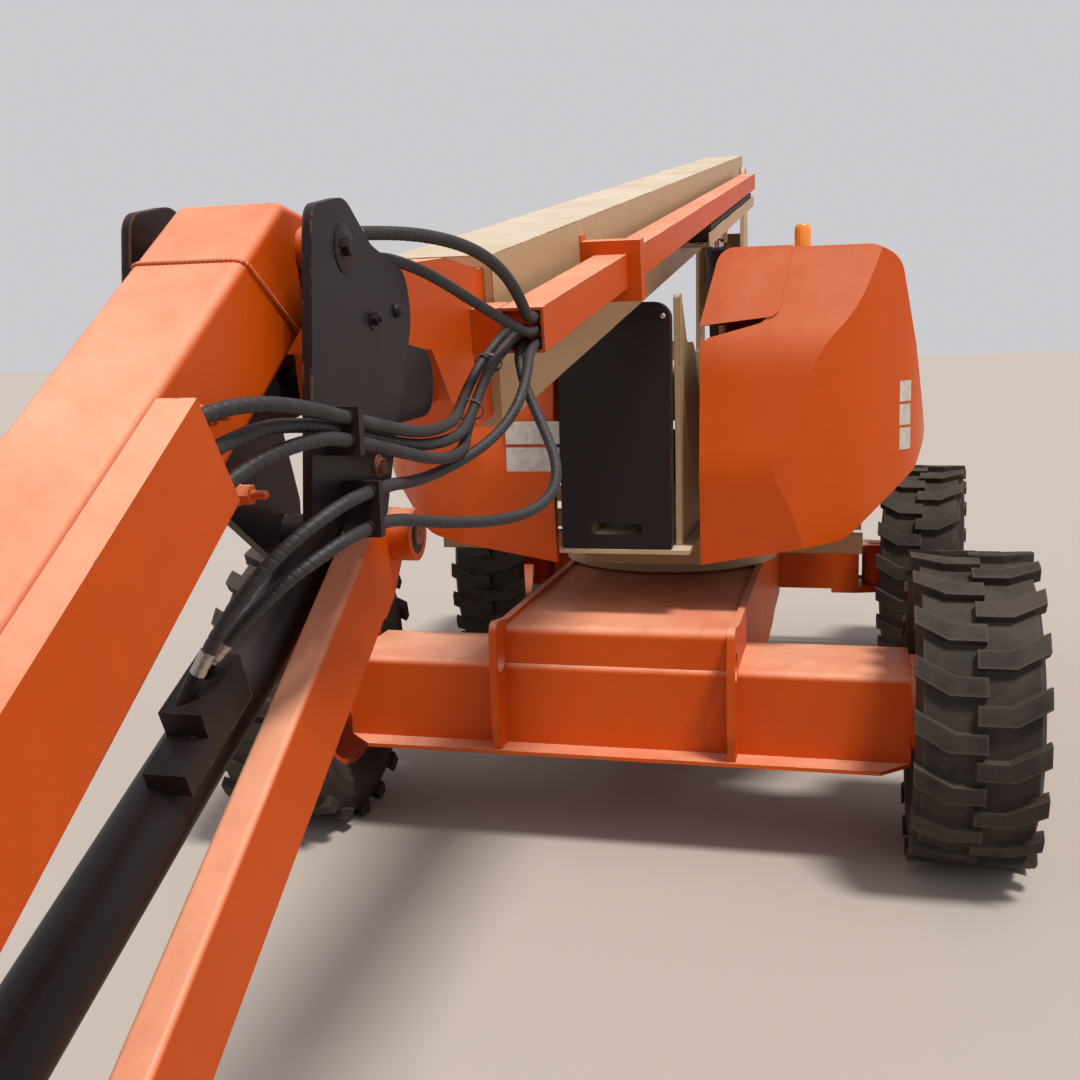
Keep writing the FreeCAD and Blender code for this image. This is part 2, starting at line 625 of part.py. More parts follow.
def counterweight():
    """The cast weight across the turntable's rear, below the tower boom."""
    rear = TABLE_REAR + 60
    outline = ((TABLE_REAR, -220), (TABLE_REAR, 220), (rear, 250), (rear, 520), (rear + 170, 720), (-640, 720),
               (-640, -720), (rear + 170, -720), (rear, -520), (rear, -250))
    block = plate_z(outline, TABLE_FLOOR + RUNNING_GAP, TABLE_FLOOR + 190, [30, 30, 0, 60, 60, 20, 20, 60, 60, 0])
    return block


def engine():
    """The engine and its pumps, as one plain block under the right hood."""
    return box(-480, 520, 300, 720, TABLE_FLOOR - 14 + RUNNING_GAP, 1560)


def hood_form(inset):
    """The left hood's filled form, smaller all round by the inset."""
    inner_y = HOOD_INNER_Y + inset
    outer_y = HOOD_HALF_WIDTH - inset
    top = HOOD_TOP - inset
    front_view = ((inner_y, HOOD_BOTTOM - 2 * inset), (700 - inset, HOOD_BOTTOM + 84 - 2 * inset),
                  (outer_y - 36, 1160 - inset / 2), (outer_y, 1262), (outer_y - 40, 1560), (outer_y - 95, top - 40),
                  (780 - inset, top), (inner_y + 60, top), (inner_y, 1640))
    front_radius = [0, 120, 60, 160, 400, 140, 90, 60, 120]
    long = HOOD_FRONT - inset
    side_view = ((long - 55, 700), (long, 1180), (long - 45, 1560), (long - 190, top + 60),
                 (-long + 190, top + 60), (-long + 45, 1560), (-long, 1180), (-long + 55, 700))
    side_radius = [0, 500, 600, 0, 0, 600, 500, 0]
    plan = ((long + 5, -100), (long, 500), (long - 95, 740), (long - 330, outer_y), (-long + 330, outer_y),
            (-long + 95, 740), (-long, 500), (-long - 5, -100))
    plan_radius = [0, 400, 260, 500, 500, 260, 400, 0]
    body = plate_x(front_view, -long - 20, long + 20, front_radius)
    body = body.common(plate_y(side_view, 0, outer_y + 40, side_radius))
    return body.common(plate_z(plan, 700, top + 40, plan_radius))


def hood(notched):
    """A hood shell, open underneath and towards the boom; the notch is for the flap."""
    shell = hood_form(0.0).cut(hood_form(HOOD_WALL))
    opening = box(-HOOD_FRONT + 60, HOOD_FRONT - 60, HOOD_INNER_Y - 20, HOOD_INNER_Y + HOOD_WALL + 14, 800, 1600)
    shell = shell.cut(opening)
    if notched:
        notch = ((HOOD_INNER_Y - 30, 1590), (FLAP_OUTER_Y - 60, 1650), (FLAP_OUTER_Y - 30, 1770),
                 (FLAP_OUTER_Y, HOOD_TOP + 30), (HOOD_INNER_Y - 30, HOOD_TOP + 30))
        shell = shell.cut(plate_x(notch, FLAP_REAR, HOOD_FRONT + 30, [10, 40, 60, 0, 0]))
    return shell


def hood_flap():
    """The plate over the left hood's inner top corner, lying on the hood's edge."""
    skin = hood_form(-RUNNING_GAP - FLAP_THICK).cut(hood_form(-RUNNING_GAP))
    cover = ((HOOD_INNER_Y - 30, 1640), (FLAP_OUTER_Y - 20, 1668), (FLAP_OUTER_Y + 26, HOOD_TOP + 30),
             (HOOD_INNER_Y - 30, HOOD_TOP + 30))
    return skin.common(plate_x(cover, FLAP_REAR - 26, HOOD_FRONT + 30, [0, 40, 0, 0]))


def front_cover():
    """The dark cover in front of the tower boom's pivot, a shallow tray with a slot."""
    x0, x1 = TABLE_FRONT + 8, TABLE_FRONT + 8 + COVER_THICK
    low = TABLE_FLOOR + RUNNING_GAP
    outline = ((COVER_LEFT, low), (COVER_RIGHT, low), (COVER_RIGHT, COVER_TOP), (COVER_LEFT, COVER_TOP))
    tray = plate_x(outline, x0, x1, [10, 10, 55, 55])
    inner = ((COVER_LEFT + COVER_WALL, low + COVER_WALL), (COVER_RIGHT - COVER_WALL, low + COVER_WALL),
             (COVER_RIGHT - COVER_WALL, COVER_TOP - COVER_WALL), (COVER_LEFT + COVER_WALL, COVER_TOP - COVER_WALL))
    tray = tray.cut(plate_x(inner, x0 - 1, x1 - COVER_WALL, [8, 8, 50, 50]))
    slot_mid = (COVER_LEFT + COVER_RIGHT) / 2
    slot = plate_x(((slot_mid - 85, low + 48), (slot_mid + 85, low + 48), (slot_mid + 85, low + 86),
                    (slot_mid - 85, low + 86)), x0 - 1, x1 + 1, 18)
    return tray.cut(slot)


def beacon():
    """The amber lamp on the right hood's rear."""
    base = rod_z(-300, 512, 42, HOOD_TOP + RUNNING_GAP, HOOD_TOP + 22)
    lens = rod_z(-300, 512, 36, HOOD_TOP + 22, HOOD_TOP + 162)
    return fused([base, lens])


def tower_base():
    """The tower's outer box, from its pivot at the front of the turntable to the rear."""
    x1 = TOWER_PIVOT_X + 95
    x0 = TOWER_PIVOT_X - TOWER_BASE_LENGTH
    z = TOWER_PIVOT_Z
    tube = square_tube(x0, x1 - 95, 0, z, TOWER_BASE_WIDTH, TOWER_BASE_HEIGHT, TOWER_WALL)
    half = TOWER_BASE_HEIGHT / 2
    head = plate_y(((x1 - 200, z - half), (x1, z - 90), (x1, z + 90), (x1 - 200, z + half)),
                   -TOWER_BASE_WIDTH / 2, TOWER_BASE_WIDTH / 2, [0, 85, 85, 0])
    pin = rod_y(TOWER_PIVOT_X, z, TOWER_PIN_RADIUS, -EAR_INNER - EAR_PLATE, EAR_INNER + EAR_PLATE)
    collars = rod_y(TOWER_PIVOT_X, z, 70, -EAR_INNER + RUNNING_GAP, EAR_INNER - RUNNING_GAP)
    rim_plate = slide_pad(x0, x0 + 50, z, (TOWER_FLY_WIDTH, TOWER_FLY_HEIGHT),
                          (TOWER_BASE_WIDTH + 24, TOWER_BASE_HEIGHT + 24))
    pieces = [tube, head, pin, collars, rim_plate]
    pieces += lug_ears(TOWER_PIVOT_X - TOWER_LUG_ALONG, z - half, TOWER_LUG_DROP, TOWER_CYL)
    return turned(fused(pieces), TOWER_PIVOT_X, TOWER_PIVOT_Z, TOWER_FALL_DEG)


def tower_fly():
    """The tower's sliding box, with the eye that carries the upright."""
    x0 = TOWER_PIVOT_X - TOWER_LENGTH
    z = TOWER_PIVOT_Z
    tube = square_tube(x0 + 120, TOWER_PIVOT_X - 260, 0, z, TOWER_FLY_WIDTH, TOWER_FLY_HEIGHT, TOWER_WALL)
    half = TOWER_FLY_HEIGHT / 2
    head = plate_y(((x0 - 80, z - 70), (x0 + 130, z - half), (x0 + 130, z + half), (x0 - 80, z + 70)),
                   -TOWER_FLY_WIDTH / 2, TOWER_FLY_WIDTH / 2, [66, 0, 0, 66])
    head = head.cut(rod_y(x0, z, TOWER_PIN_RADIUS + 0.05, -200, 200))
    inner_end = TOWER_PIVOT_X - 260
    pad = slide_pad(inner_end - 80, inner_end, z, None,
                    (TOWER_BASE_WIDTH - 2 * TOWER_WALL, TOWER_BASE_HEIGHT - 2 * TOWER_WALL))
    pad = pad.cut(box(inner_end - 90, inner_end + 10, -TOWER_FLY_WIDTH / 2 + 2, TOWER_FLY_WIDTH / 2 - 2,
                      z - half + 2, z + half - 2))
    return turned(fused([tube, head, pad]), TOWER_PIVOT_X, TOWER_PIVOT_Z, TOWER_FALL_DEG)


def slide_pad(x0, x1, z, inner, outer):
    """A ring of wear pads between two boxes of a telescope: inside the outer size or round the inner."""
    gap = 2 * RUNNING_GAP
    if inner is None:
        return box(x0, x1, (gap - outer[0]) / 2, (outer[0] - gap) / 2, z - (outer[1] - gap) / 2,
                   z + (outer[1] - gap) / 2)
    ring = box(x0, x1, -outer[0] / 2, outer[0] / 2, z - outer[1] / 2, z + outer[1] / 2)
    return ring.cut(box(x0 - 1, x1 + 1, (-inner[0] - gap) / 2, (inner[0] + gap) / 2, z - (inner[1] + gap) / 2,
                        z + (inner[1] + gap) / 2))


def lug_ears(x, z_face, drop, spec):
    """Two ears below a boom's flat belly, one each side of a cylinder's eye."""
    ears = []
    reach = spec["eye"] + 4
    for sign in (1, -1):
        y0 = spec["y"] + sign * (spec["eye_half"] + RUNNING_GAP)
        y1 = y0 + sign * 14
        low, high = sorted((y0, y1))
        outline = ((x - reach - 30, z_face + 2), (x - reach, z_face - drop), (x - reach, z_face - drop - reach),
                   (x + reach, z_face - drop - reach), (x + reach, z_face - drop), (x + reach + 30, z_face + 2))
        ears.append(plate_y(outline, low, high, [0, 10, reach - 4, reach - 4, 10, 0]))
    return ears


def lug_point(pivot_x, pivot_z, along, below, degrees):
    """Where a boom's cylinder lug lies at rest."""
    angle = math.radians(degrees)
    return V(pivot_x + along * math.cos(angle) + below * math.sin(angle), 0,
             pivot_z + along * math.sin(angle) - below * math.cos(angle))


def cylinder_pair(base, eye, spec):
    """A barrel from its base pin and a rod to its eye, both in one vertical plane."""
    base = V(base.x, spec["y"], base.z)
    eye = V(eye.x, spec["y"], eye.z)
    direction = V(eye - base).normalize()
    span = (eye - base).Length
    tube_end = spec["tube"]
    barrel = Part.makeCylinder(spec["barrel"], tube_end - 30, base + direction * 30, direction)
    ring = rod_y(base.x, base.z, spec["eye"], base.y - spec["eye_half"], base.y + spec["eye_half"])
    gland = Part.makeCylinder(spec["barrel"] + 8, 46, base + direction * (tube_end - 46), direction)
    barrel = fused([barrel, ring, gland])
    bore = Part.makeCylinder(spec["rod"] + 0.05, tube_end, base + direction * spec["bore_start"], direction)
    pin_hole = rod_y(base.x, base.z, spec["pin"] + 0.05, base.y - 200, base.y + 200)
    barrel = barrel.cut(bore).cut(pin_hole)
    rod = Part.makeCylinder(spec["rod"], span - spec["rod_start"] - spec["eye"] * 0.5,
                            base + direction * spec["rod_start"], direction)
    head = rod_y(eye.x, eye.z, spec["eye"], eye.y - spec["eye_half"], eye.y + spec["eye_half"])
    return barrel, fused([rod, head])


def upright():
    """The upright that joins the tower's end to the main boom's pivot."""
    low_x, low_z = upright_pivot()
    outline = ((low_x - 90, low_z - 90), (low_x + 90, low_z - 90), (low_x + 130, low_z + 120),
               (MAIN_BASE_X + 90, MAIN_BASE_Z + 60), (MAIN_PIVOT_X + 150, MAIN_PIVOT_Z - 330),
               (MAIN_PIVOT_X + 84, MAIN_PIVOT_Z + 84), (MAIN_PIVOT_X - 84, MAIN_PIVOT_Z + 84),
               (MAIN_PIVOT_X - 150, MAIN_PIVOT_Z - 260), (low_x - 290, low_z + 260))
    side = plate_y(outline, UPRIGHT_INNER, UPRIGHT_INNER + UPRIGHT_PLATE, [80, 80, 60, 60, 120, 80, 80, 60, 60])
    side = side.cut(rod_y(MAIN_PIVOT_X, MAIN_PIVOT_Z, TOWER_PIN_RADIUS + 0.05, 0, 300))
    web = box(MAIN_PIVOT_X - 148, MAIN_PIVOT_X - 134, -UPRIGHT_INNER - 2, UPRIGHT_INNER + 2,
              low_z + 400, MAIN_PIVOT_Z - 262)
    low_web = box(low_x - 240, low_x - 152, -UPRIGHT_INNER - 2, UPRIGHT_INNER + 2, low_z + 165, low_z + 179)
    tower_pin = rod_y(low_x, low_z, TOWER_PIN_RADIUS, -UPRIGHT_INNER - 2, UPRIGHT_INNER + 2)
    cylinder_pin = rod_y(MAIN_BASE_X, MAIN_BASE_Z, MAIN_CYL["pin"], -UPRIGHT_INNER - 2, UPRIGHT_INNER + 2)
    return fused([side, mirrored(side), web, low_web, tower_pin, cylinder_pin])


def upright_pivot():
    """The tower fly's eye, at rest, which carries the upright."""
    angle = math.radians(TOWER_FALL_DEG)
    return (TOWER_PIVOT_X - TOWER_LENGTH * math.cos(angle), TOWER_PIVOT_Z - TOWER_LENGTH * math.sin(angle))


def in_boom(shape):
    """A shape drawn level, with its zero at the main boom's pivot, put at its rest angle."""
    result = shape.copy()
    result.translate(V(MAIN_PIVOT_X, 0, MAIN_PIVOT_Z))
    return turned(result, MAIN_PIVOT_X, MAIN_PIVOT_Z, -BOOM_FALL_DEG)


def main_boom_base():
    """The cream outer box with its pivot bosses, cylinder ears and the track's tray."""
    mid = BOOM_TOP - BOOM_HEIGHT / 2
    tube = square_tube(-BOOM_TAIL, BOOM_LENGTH, 0, mid, BOOM_WIDTH, BOOM_HEIGHT, BOOM_WALL)
    cap = box(-BOOM_TAIL, -BOOM_TAIL + 10, -BOOM_WIDTH / 2 + 1, BOOM_WIDTH / 2 - 1, mid - BOOM_HEIGHT / 2 + 1,
              BOOM_TOP - 1)
    boss = rod_y(0, 0, 62, -UPRIGHT_INNER + RUNNING_GAP, UPRIGHT_INNER - RUNNING_GAP)
    pin = rod_y(0, 0, TOWER_PIN_RADIUS, -UPRIGHT_INNER - UPRIGHT_PLATE, UPRIGHT_INNER + UPRIGHT_PLATE)
    tray = box(TRAY_START, TRAY_END, BOOM_WIDTH / 2 - 1, TRAY_OUTER, TRAY_FLOOR - 5, TRAY_FLOOR)
    lip = box(TRAY_START, TRAY_END, TRAY_OUTER - 5, TRAY_OUTER, TRAY_FLOOR - 5, TRAY_FLOOR + 42)
    mouth = slide_pad(BOOM_LENGTH - 60, BOOM_LENGTH, mid, (FLY_WIDTH, FLY_HEIGHT),
                      (BOOM_WIDTH - BOOM_WALL, BOOM_HEIGHT - BOOM_WALL))
    ears = lug_ears(MAIN_LUG_ALONG, BOOM_TOP - BOOM_HEIGHT, MAIN_LUG_DROP, MAIN_CYL)
    return in_boom(fused([tube, cap, boss, pin, tray, lip, mouth] + ears))


def tube_collar():
    """The guide on the base boom's side that the long tube slides through."""
    top = BOOM_TOP - TUBE_TOP_DROP
    mid_z = top - TUBE_SIZE / 2
    mid_y = TUBE_INNER_Y + TUBE_SIZE / 2
    guide = square_tube(COLLAR_ALONG, COLLAR_ALONG + 55, mid_y, mid_z, TUBE_SIZE + 62, TUBE_SIZE + 62,
                        31 - RUNNING_GAP)
    arm = box(COLLAR_ALONG, COLLAR_ALONG + 55, BOOM_WIDTH / 2, mid_y - TUBE_SIZE / 2 - 30, mid_z - 50,
              BOOM_TOP - COLLAR_ARM_DROP)
    return in_boom(fused([guide, arm]))


def fly_boom():
    """The orange inner box with its nose plates and the tongue that carries the jib bracket."""
    mid = BOOM_TOP - BOOM_HEIGHT / 2
    half = FLY_HEIGHT / 2
    tube = square_tube(FLY_START, FLY_END, 0, mid, FLY_WIDTH, FLY_HEIGHT, FLY_WALL)
    pad = slide_pad(FLY_START, FLY_START + 80, mid, None, (BOOM_WIDTH - 2 * BOOM_WALL, BOOM_HEIGHT - 2 * BOOM_WALL))
    pad = pad.cut(box(FLY_START - 10, FLY_START + 90, -FLY_WIDTH / 2 + 2, FLY_WIDTH / 2 - 2, mid - half + 2,
                      mid + half - 2))
    nose_outline = ((FLY_END - 60, mid - half), (FLY_END + 64, mid - half), (FLY_END + 213, -62),
                    (NOSE_PIVOT_U + 55, NOSE_PIVOT_V - 55), (NOSE_PIVOT_U + 55, 60), (NOSE_PIVOT_U + 40, 176),
                    (FLY_END + 181, 160), (FLY_END, mid + half), (FLY_END - 60, mid + half))
    nose = plate_y(nose_outline, -FLY_WIDTH / 2, FLY_WIDTH / 2, [0, 30, 40, 54, 30, 30, 60, 0, 0])
    hollow = ((FLY_END - 80, mid - half + 14), (FLY_END + 50, mid - half + 14), (FLY_END + 200, -46),
              (NOSE_PIVOT_U - 70, -40), (NOSE_PIVOT_U - 70, 60), (FLY_END + 120, mid + half - 14),
              (FLY_END - 80, mid + half - 14))
    nose = nose.cut(plate_y(hollow, -FLY_WIDTH / 2 + NOSE_RECESS + 10, FLY_WIDTH / 2 - NOSE_RECESS - 10))
    recess = ((FLY_END + 213, -63), (FLY_END + 284, 33), (NOSE_PIVOT_U + 42, 60), (NOSE_PIVOT_U + 80, 60),
              (NOSE_PIVOT_U + 80, -80), (FLY_END + 213, -80))
    for y0 in (-FLY_WIDTH / 2 - 10, FLY_WIDTH / 2 - NOSE_RECESS):
        nose = nose.cut(plate_y(recess, y0, y0 + NOSE_RECESS + 10, [0, 30, 0, 0, 0, 0]))
    nose = nose.cut(rod_y(NOSE_PIVOT_U, NOSE_PIVOT_V, JIB_PIN_RADIUS + 0.05, -200, 200))
    cross = box(BOOM_LENGTH + 14, TUBE_END, FLY_WIDTH / 2 - 4, TUBE_INNER_Y, BOOM_TOP - TUBE_TOP_DROP - TUBE_SIZE,
                BOOM_TOP - TUBE_TOP_DROP)
    return in_boom(fused([tube, nose, cross, pad]))


def track_tube():
    """The long square tube beside the boom, which moves with the fly and carries the hoses."""
    mid_z = BOOM_TOP - TUBE_TOP_DROP - TUBE_SIZE / 2
    mid_y = TUBE_INNER_Y + TUBE_SIZE / 2
    tube = square_tube(TUBE_START, TUBE_END, mid_y, mid_z, TUBE_SIZE, TUBE_SIZE, TUBE_WALL)
    inner = TUBE_SIZE / 2 - TUBE_WALL + 1
    plug = box(TUBE_END - PLUG_BACK - PLUG_THICK, TUBE_END - PLUG_BACK, mid_y - inner, mid_y + inner,
               mid_z - inner, mid_z + inner)
    return in_boom(fused([tube, plug]))


def power_track():
    """The plastic link chain that lies in the tray on the base boom's side."""
    links = []
    count = int((TRAY_END - 60 - TRAY_START - 120) // TRACK_PITCH)
    low = TRAY_FLOOR + RUNNING_GAP
    y0 = BOOM_WIDTH / 2 + 8
    y1 = TRAY_OUTER - 9
    spine = box(TRAY_START + 60, TRAY_START + 60 + count * TRACK_PITCH, y0 + 6, y1 - 6, low + 6, low + TRACK_HEIGHT - 6)
    links.append(spine)
    for index in range(count):
        x = TRAY_START + 60 + index * TRACK_PITCH
        links.append(box(x, x + TRACK_PITCH * 0.62, y0, y1, low, low + TRACK_HEIGHT))
    return in_boom(fused(links))


def jib_bracket():
    """The dark bracket at the boom's nose, kept level, between two outer plates."""
    nose = nose_pivot()
    plate_outline = ((3738, 1788), (3642, 1806), (3562, 1754), (3440, 1724), (3420, 1662), (3490, 1535),
                     (3550, 1404), (3784, 1424))
    radii = [30, 50, 60, 40, 60, 120, 14, 10]
    nose_lug = ((nose.x - BRACKET_EYE, nose.z - BRACKET_EYE), (nose.x - BRACKET_EYE, nose.z + BRACKET_EYE),
                (3520, 1640), (3540, 1520))
    link_lug = ((LINK_PIVOT_X - BRACKET_EYE, LINK_PIVOT_Z - BRACKET_EYE), (LINK_PIVOT_X - BRACKET_EYE, 1400),
                (3420, 1560), (3600, 1560), (3600, 1420), (LINK_PIVOT_X + 30, LINK_PIVOT_Z - BRACKET_EYE))
    pieces = []
    for sign in (1, -1):
        y0, y1 = sorted((sign * BRACKET_INNER, sign * (BRACKET_INNER + BRACKET_PLATE)))
        pieces.append(plate_y(plate_outline, y0, y1, radii))
        y0, y1 = sorted((sign * (BRACKET_INNER - BRACKET_LUG), sign * BRACKET_INNER))
        pieces.append(plate_y(nose_lug, y0, y1, [BRACKET_EYE - 1, BRACKET_EYE - 1, 20, 20]))
    pieces.append(plate_y(link_lug, -BRACKET_INNER, BRACKET_LUG - BRACKET_INNER,
                          [BRACKET_EYE - 1, 30, 20, 20, 20, BRACKET_EYE - 1]))
    inner = BRACKET_INNER - 2
    pieces.append(rod_y(nose.x, nose.z, JIB_PIN_RADIUS, -inner, inner))
    pieces.append(rod_y(LINK_PIVOT_X, LINK_PIVOT_Z, JIB_PIN_RADIUS, -inner, LINK_Y + LINK_WIDTH / 2 + LINK_BOSS))
    spacer_end = LINK_Y - LINK_WIDTH / 2 - RUNNING_GAP
    spacer_start = JIB_CYL["y"] + JIB_CYL["barrel"] + RUNNING_GAP
    pieces.append(rod_y(LINK_PIVOT_X, LINK_PIVOT_Z, JIB_PIN_RADIUS + 8, spacer_start, spacer_end))
    for near, far in CLAMPED:
        start = route(near)[-1]
        end = route(far)[0]
        along = V(end - start).normalize() * HOSE_SEAT
        pieces.append(bar(start + along, end - along, FITTING_RADIUS))
    outer_face = BRACKET_INNER + BRACKET_PLATE
    for x_mid, z0, z1 in ((3736, 1506, 1562), (3684, 1402, 1470)):
        pieces.append(box(x_mid - CLAMP_THICK / 2, x_mid + CLAMP_THICK / 2, outer_face - 2, CLAMP_OUTER, z0, z1))
    for name in ("hose_high", "hose_upper"):
        pieces.append(end_fitting(name, FITTING_LENGTH))
        tip = route(name)[-1]
        pieces.append(box(tip.x + 8, tip.x + 30, tip.y - 8, BRACKET_INNER + 2, tip.z - 12, tip.z + 9))
    bracket = fused(pieces)
    return bracket.cut(rod_y(JIB_PIVOT_X, JIB_PIVOT_Z, JIB_PIN_RADIUS + 0.05, -200, 200))


def nose_pivot():
    """The bracket's pin on the boom's nose, at rest."""
    angle = math.radians(-BOOM_FALL_DEG)
    return V(MAIN_PIVOT_X + NOSE_PIVOT_U * math.cos(angle) - NOSE_PIVOT_V * math.sin(angle), 0,
             MAIN_PIVOT_Z + NOSE_PIVOT_U * math.sin(angle) + NOSE_PIVOT_V * math.cos(angle))


def jib_far(x, z):
    """The point one jib length down the parallelogram from a pivot."""
    angle = math.radians(JIB_FALL_DEG)
    return V(x + JIB_LENGTH * math.cos(angle), 0, z - JIB_LENGTH * math.sin(angle))


def in_jib(shape, x=JIB_PIVOT_X, z=JIB_PIVOT_Z):
    """A shape drawn level, with its zero at a jib pivot, put at the jib's rest angle."""
    result = shape.copy()
    result.translate(V(x, 0, z))
    return turned(result, x, z, -JIB_FALL_DEG)


def jib_head():
    """The closed end of the jib's beam about its pivot pin, up to the slanted weld seam."""
    half = JIB_WIDTH / 2
    high = JIB_HEIGHT / 2
    outline = ((15, high), (SEAM_HIGH, high), (SEAM_LOW, -high), (-10, -high), (-58, -30), (-58, 8))
    head = plate_y(outline, -half, half, [20, 0, 0, 50, 30, 20])
    return head.makeFillet(JIB_EDGE, [edge for edge in head.Edges if is_head_rim(edge)])


def is_head_rim(edge):
    """Whether an edge of the jib's head lies in a side face, apart from its seam."""
    span = edge.BoundBox
    in_side = span.YLength < 1e-6 and abs(abs(span.YMin) - JIB_WIDTH / 2) < 1e-6
    slanted = span.XMax > SEAM_HIGH - 1 and span.ZLength > 1
    return in_side and not slanted


def jib_beam():
    """The jib's upper box, pivoted on its own axis between closed heads."""
    half = JIB_WIDTH / 2
    high = JIB_HEIGHT / 2
    section = ((-half, -high), (half, -high), (half, high), (-half, high))
    tube = plate_x(section, SEAM_LOW - 20, JIB_LENGTH - SEAM_LOW + 20, JIB_EDGE)
    tube = tube.cut(box(0, JIB_LENGTH, JIB_WALL - half, half - JIB_WALL, JIB_WALL - high, high - JIB_WALL))
    head = jib_head()
    far_head = head.mirror(V(JIB_LENGTH / 2, 0, 0), ALONG_X)
    pieces = [tube, head, far_head]
    for sign in (1, -1):
        y0, y1 = sorted((sign * (half - 2), sign * (BRACKET_INNER + BRACKET_PLATE)))
        pieces.append(rod_y(0, 0, JIB_PIN_RADIUS, y0, y1))
        y0, y1 = sorted((sign * (half - 2), sign * BRACKET_INNER))
        pieces.append(rod_y(JIB_LENGTH, 0, JIB_PIN_RADIUS, y0, y1))
    pieces += lug_ears(CYL_LUG_ALONG, -high, CYL_LUG_DROP, JIB_CYL)
    return in_jib(fused(pieces))


def hose_box():
    """The open channel on the jib's left side that the hoses run into."""
    y_mid = JIB_WIDTH / 2 + HOSE_BOX_GAP + HOSE_BOX_WIDTH / 2
    z_mid = JIB_HEIGHT / 2 + HOSE_BOX_LIP - HOSE_BOX_HEIGHT / 2
    duct = square_tube(HOSE_BOX_START, JIB_LENGTH - 340, y_mid, z_mid, HOSE_BOX_WIDTH, HOSE_BOX_HEIGHT, 3.0)
    inner = HOSE_BOX_WIDTH / 2 - 2
    duct = duct.fuse(box(BOX_PLUG_ALONG, BOX_PLUG_ALONG + PLUG_THICK, y_mid - inner, y_mid + inner,
                         z_mid - HOSE_BOX_HEIGHT / 2 + 2, z_mid + HOSE_BOX_HEIGHT / 2 - 2))
    for x in (HOSE_BOX_START + 90, JIB_LENGTH - 470):
        spacer = box(x, x + 60, JIB_WIDTH / 2, y_mid - HOSE_BOX_WIDTH / 2 + 2, z_mid - 40, z_mid + 40)
        duct = duct.fuse(spacer)
    return in_jib(duct.removeSplitter())


def jib_link():
    """The lower bar of the jib's parallelogram, with the boss that holds its near pin."""
    half = LINK_HEIGHT / 2
    left = LINK_Y + LINK_WIDTH / 2
    section = ((LINK_Y - LINK_WIDTH / 2, -half), (left, -half), (left, half), (LINK_Y - LINK_WIDTH / 2, half))
    tube = plate_x(section, 70, JIB_LENGTH - 70, 8)
    tube = tube.cut(box(0, JIB_LENGTH, LINK_Y - LINK_WIDTH / 2 + 5, left - 5, 5 - half, half - 5))
    end = ((-LINK_EYE, -30), (-LINK_EYE, 24), (66, half), (110, half), (110, -half), (66, -half))
    pieces = [tube]
    for flip in (False, True):
        outline = [(JIB_LENGTH - x if flip else x, z) for x, z in end]
        pieces.append(plate_y(outline, LINK_Y - LINK_WIDTH / 2, left, [38, 38, 20, 0, 0, 20]))
    pieces.append(rod_y(0, 0, LINK_EYE - 4, left - 2, left + LINK_BOSS))
    link = fused(pieces)
    for x in (0, JIB_LENGTH):
        link = link.cut(rod_y(x, 0, JIB_PIN_RADIUS + 0.05, -200, 200))
    return in_jib(link, LINK_PIVOT_X, LINK_PIVOT_Z)


def platform_support():
    """The level support at the jib's end, with the rotator's housing."""
    top = jib_far(JIB_PIVOT_X, JIB_PIVOT_Z)
    low = jib_far(LINK_PIVOT_X, LINK_PIVOT_Z)
    front = ROTATOR_X - ROTATOR_RADIUS + 14
    outline = ((low.x - 55, low.z - 55), (front, low.z - 4), (front, top.z + 20), (top.x + 50, top.z + 62),
               (top.x - 58, top.z + 62), (top.x - 62, top.z - 60), (low.x - 55, low.z + 60))
    pieces = []
    for sign in (1, -1):
        y0, y1 = sorted((sign * (BRACKET_INNER - BRACKET_LUG), sign * BRACKET_INNER))
        plate = plate_y(outline, y0, y1, [50, 10, 30, 50, 56, 40, 50])
        pieces.append(plate.cut(rod_y(top.x, top.z, JIB_PIN_RADIUS + 0.05, -200, 200)))
    inner = BRACKET_INNER - 2
    pieces.append(rod_y(low.x, low.z, JIB_PIN_RADIUS, LINK_Y - LINK_WIDTH / 2 - 2, inner))
    pieces.append(box(front - 14, front, -inner, inner, low.z, top.z))
    pieces.append(rod_z(ROTATOR_X, 0, ROTATOR_RADIUS, ROTATOR_LOW, ROTATOR_HIGH))
    return fused(pieces)


def platform_yoke():
    """The yoke that swings about the rotator and carries the platform's near edge."""
    face = PLATFORM_NEAR - 24
    arms = []
    for z0 in (ROTATOR_LOW - 22 - RUNNING_GAP, ROTATOR_HIGH + RUNNING_GAP):
        arms.append(plate_z(((ROTATOR_X - 66, -66), (face, -66), (face, 66), (ROTATOR_X - 66, 66)), z0, z0 + 22,
                            [64, 0, 0, 64]))
    plate = box(face, face + 24 - RUNNING_GAP, -260, 260, FLOOR_BOTTOM, ROTATOR_HIGH + 22 + RUNNING_GAP)
    return fused(arms + [plate])


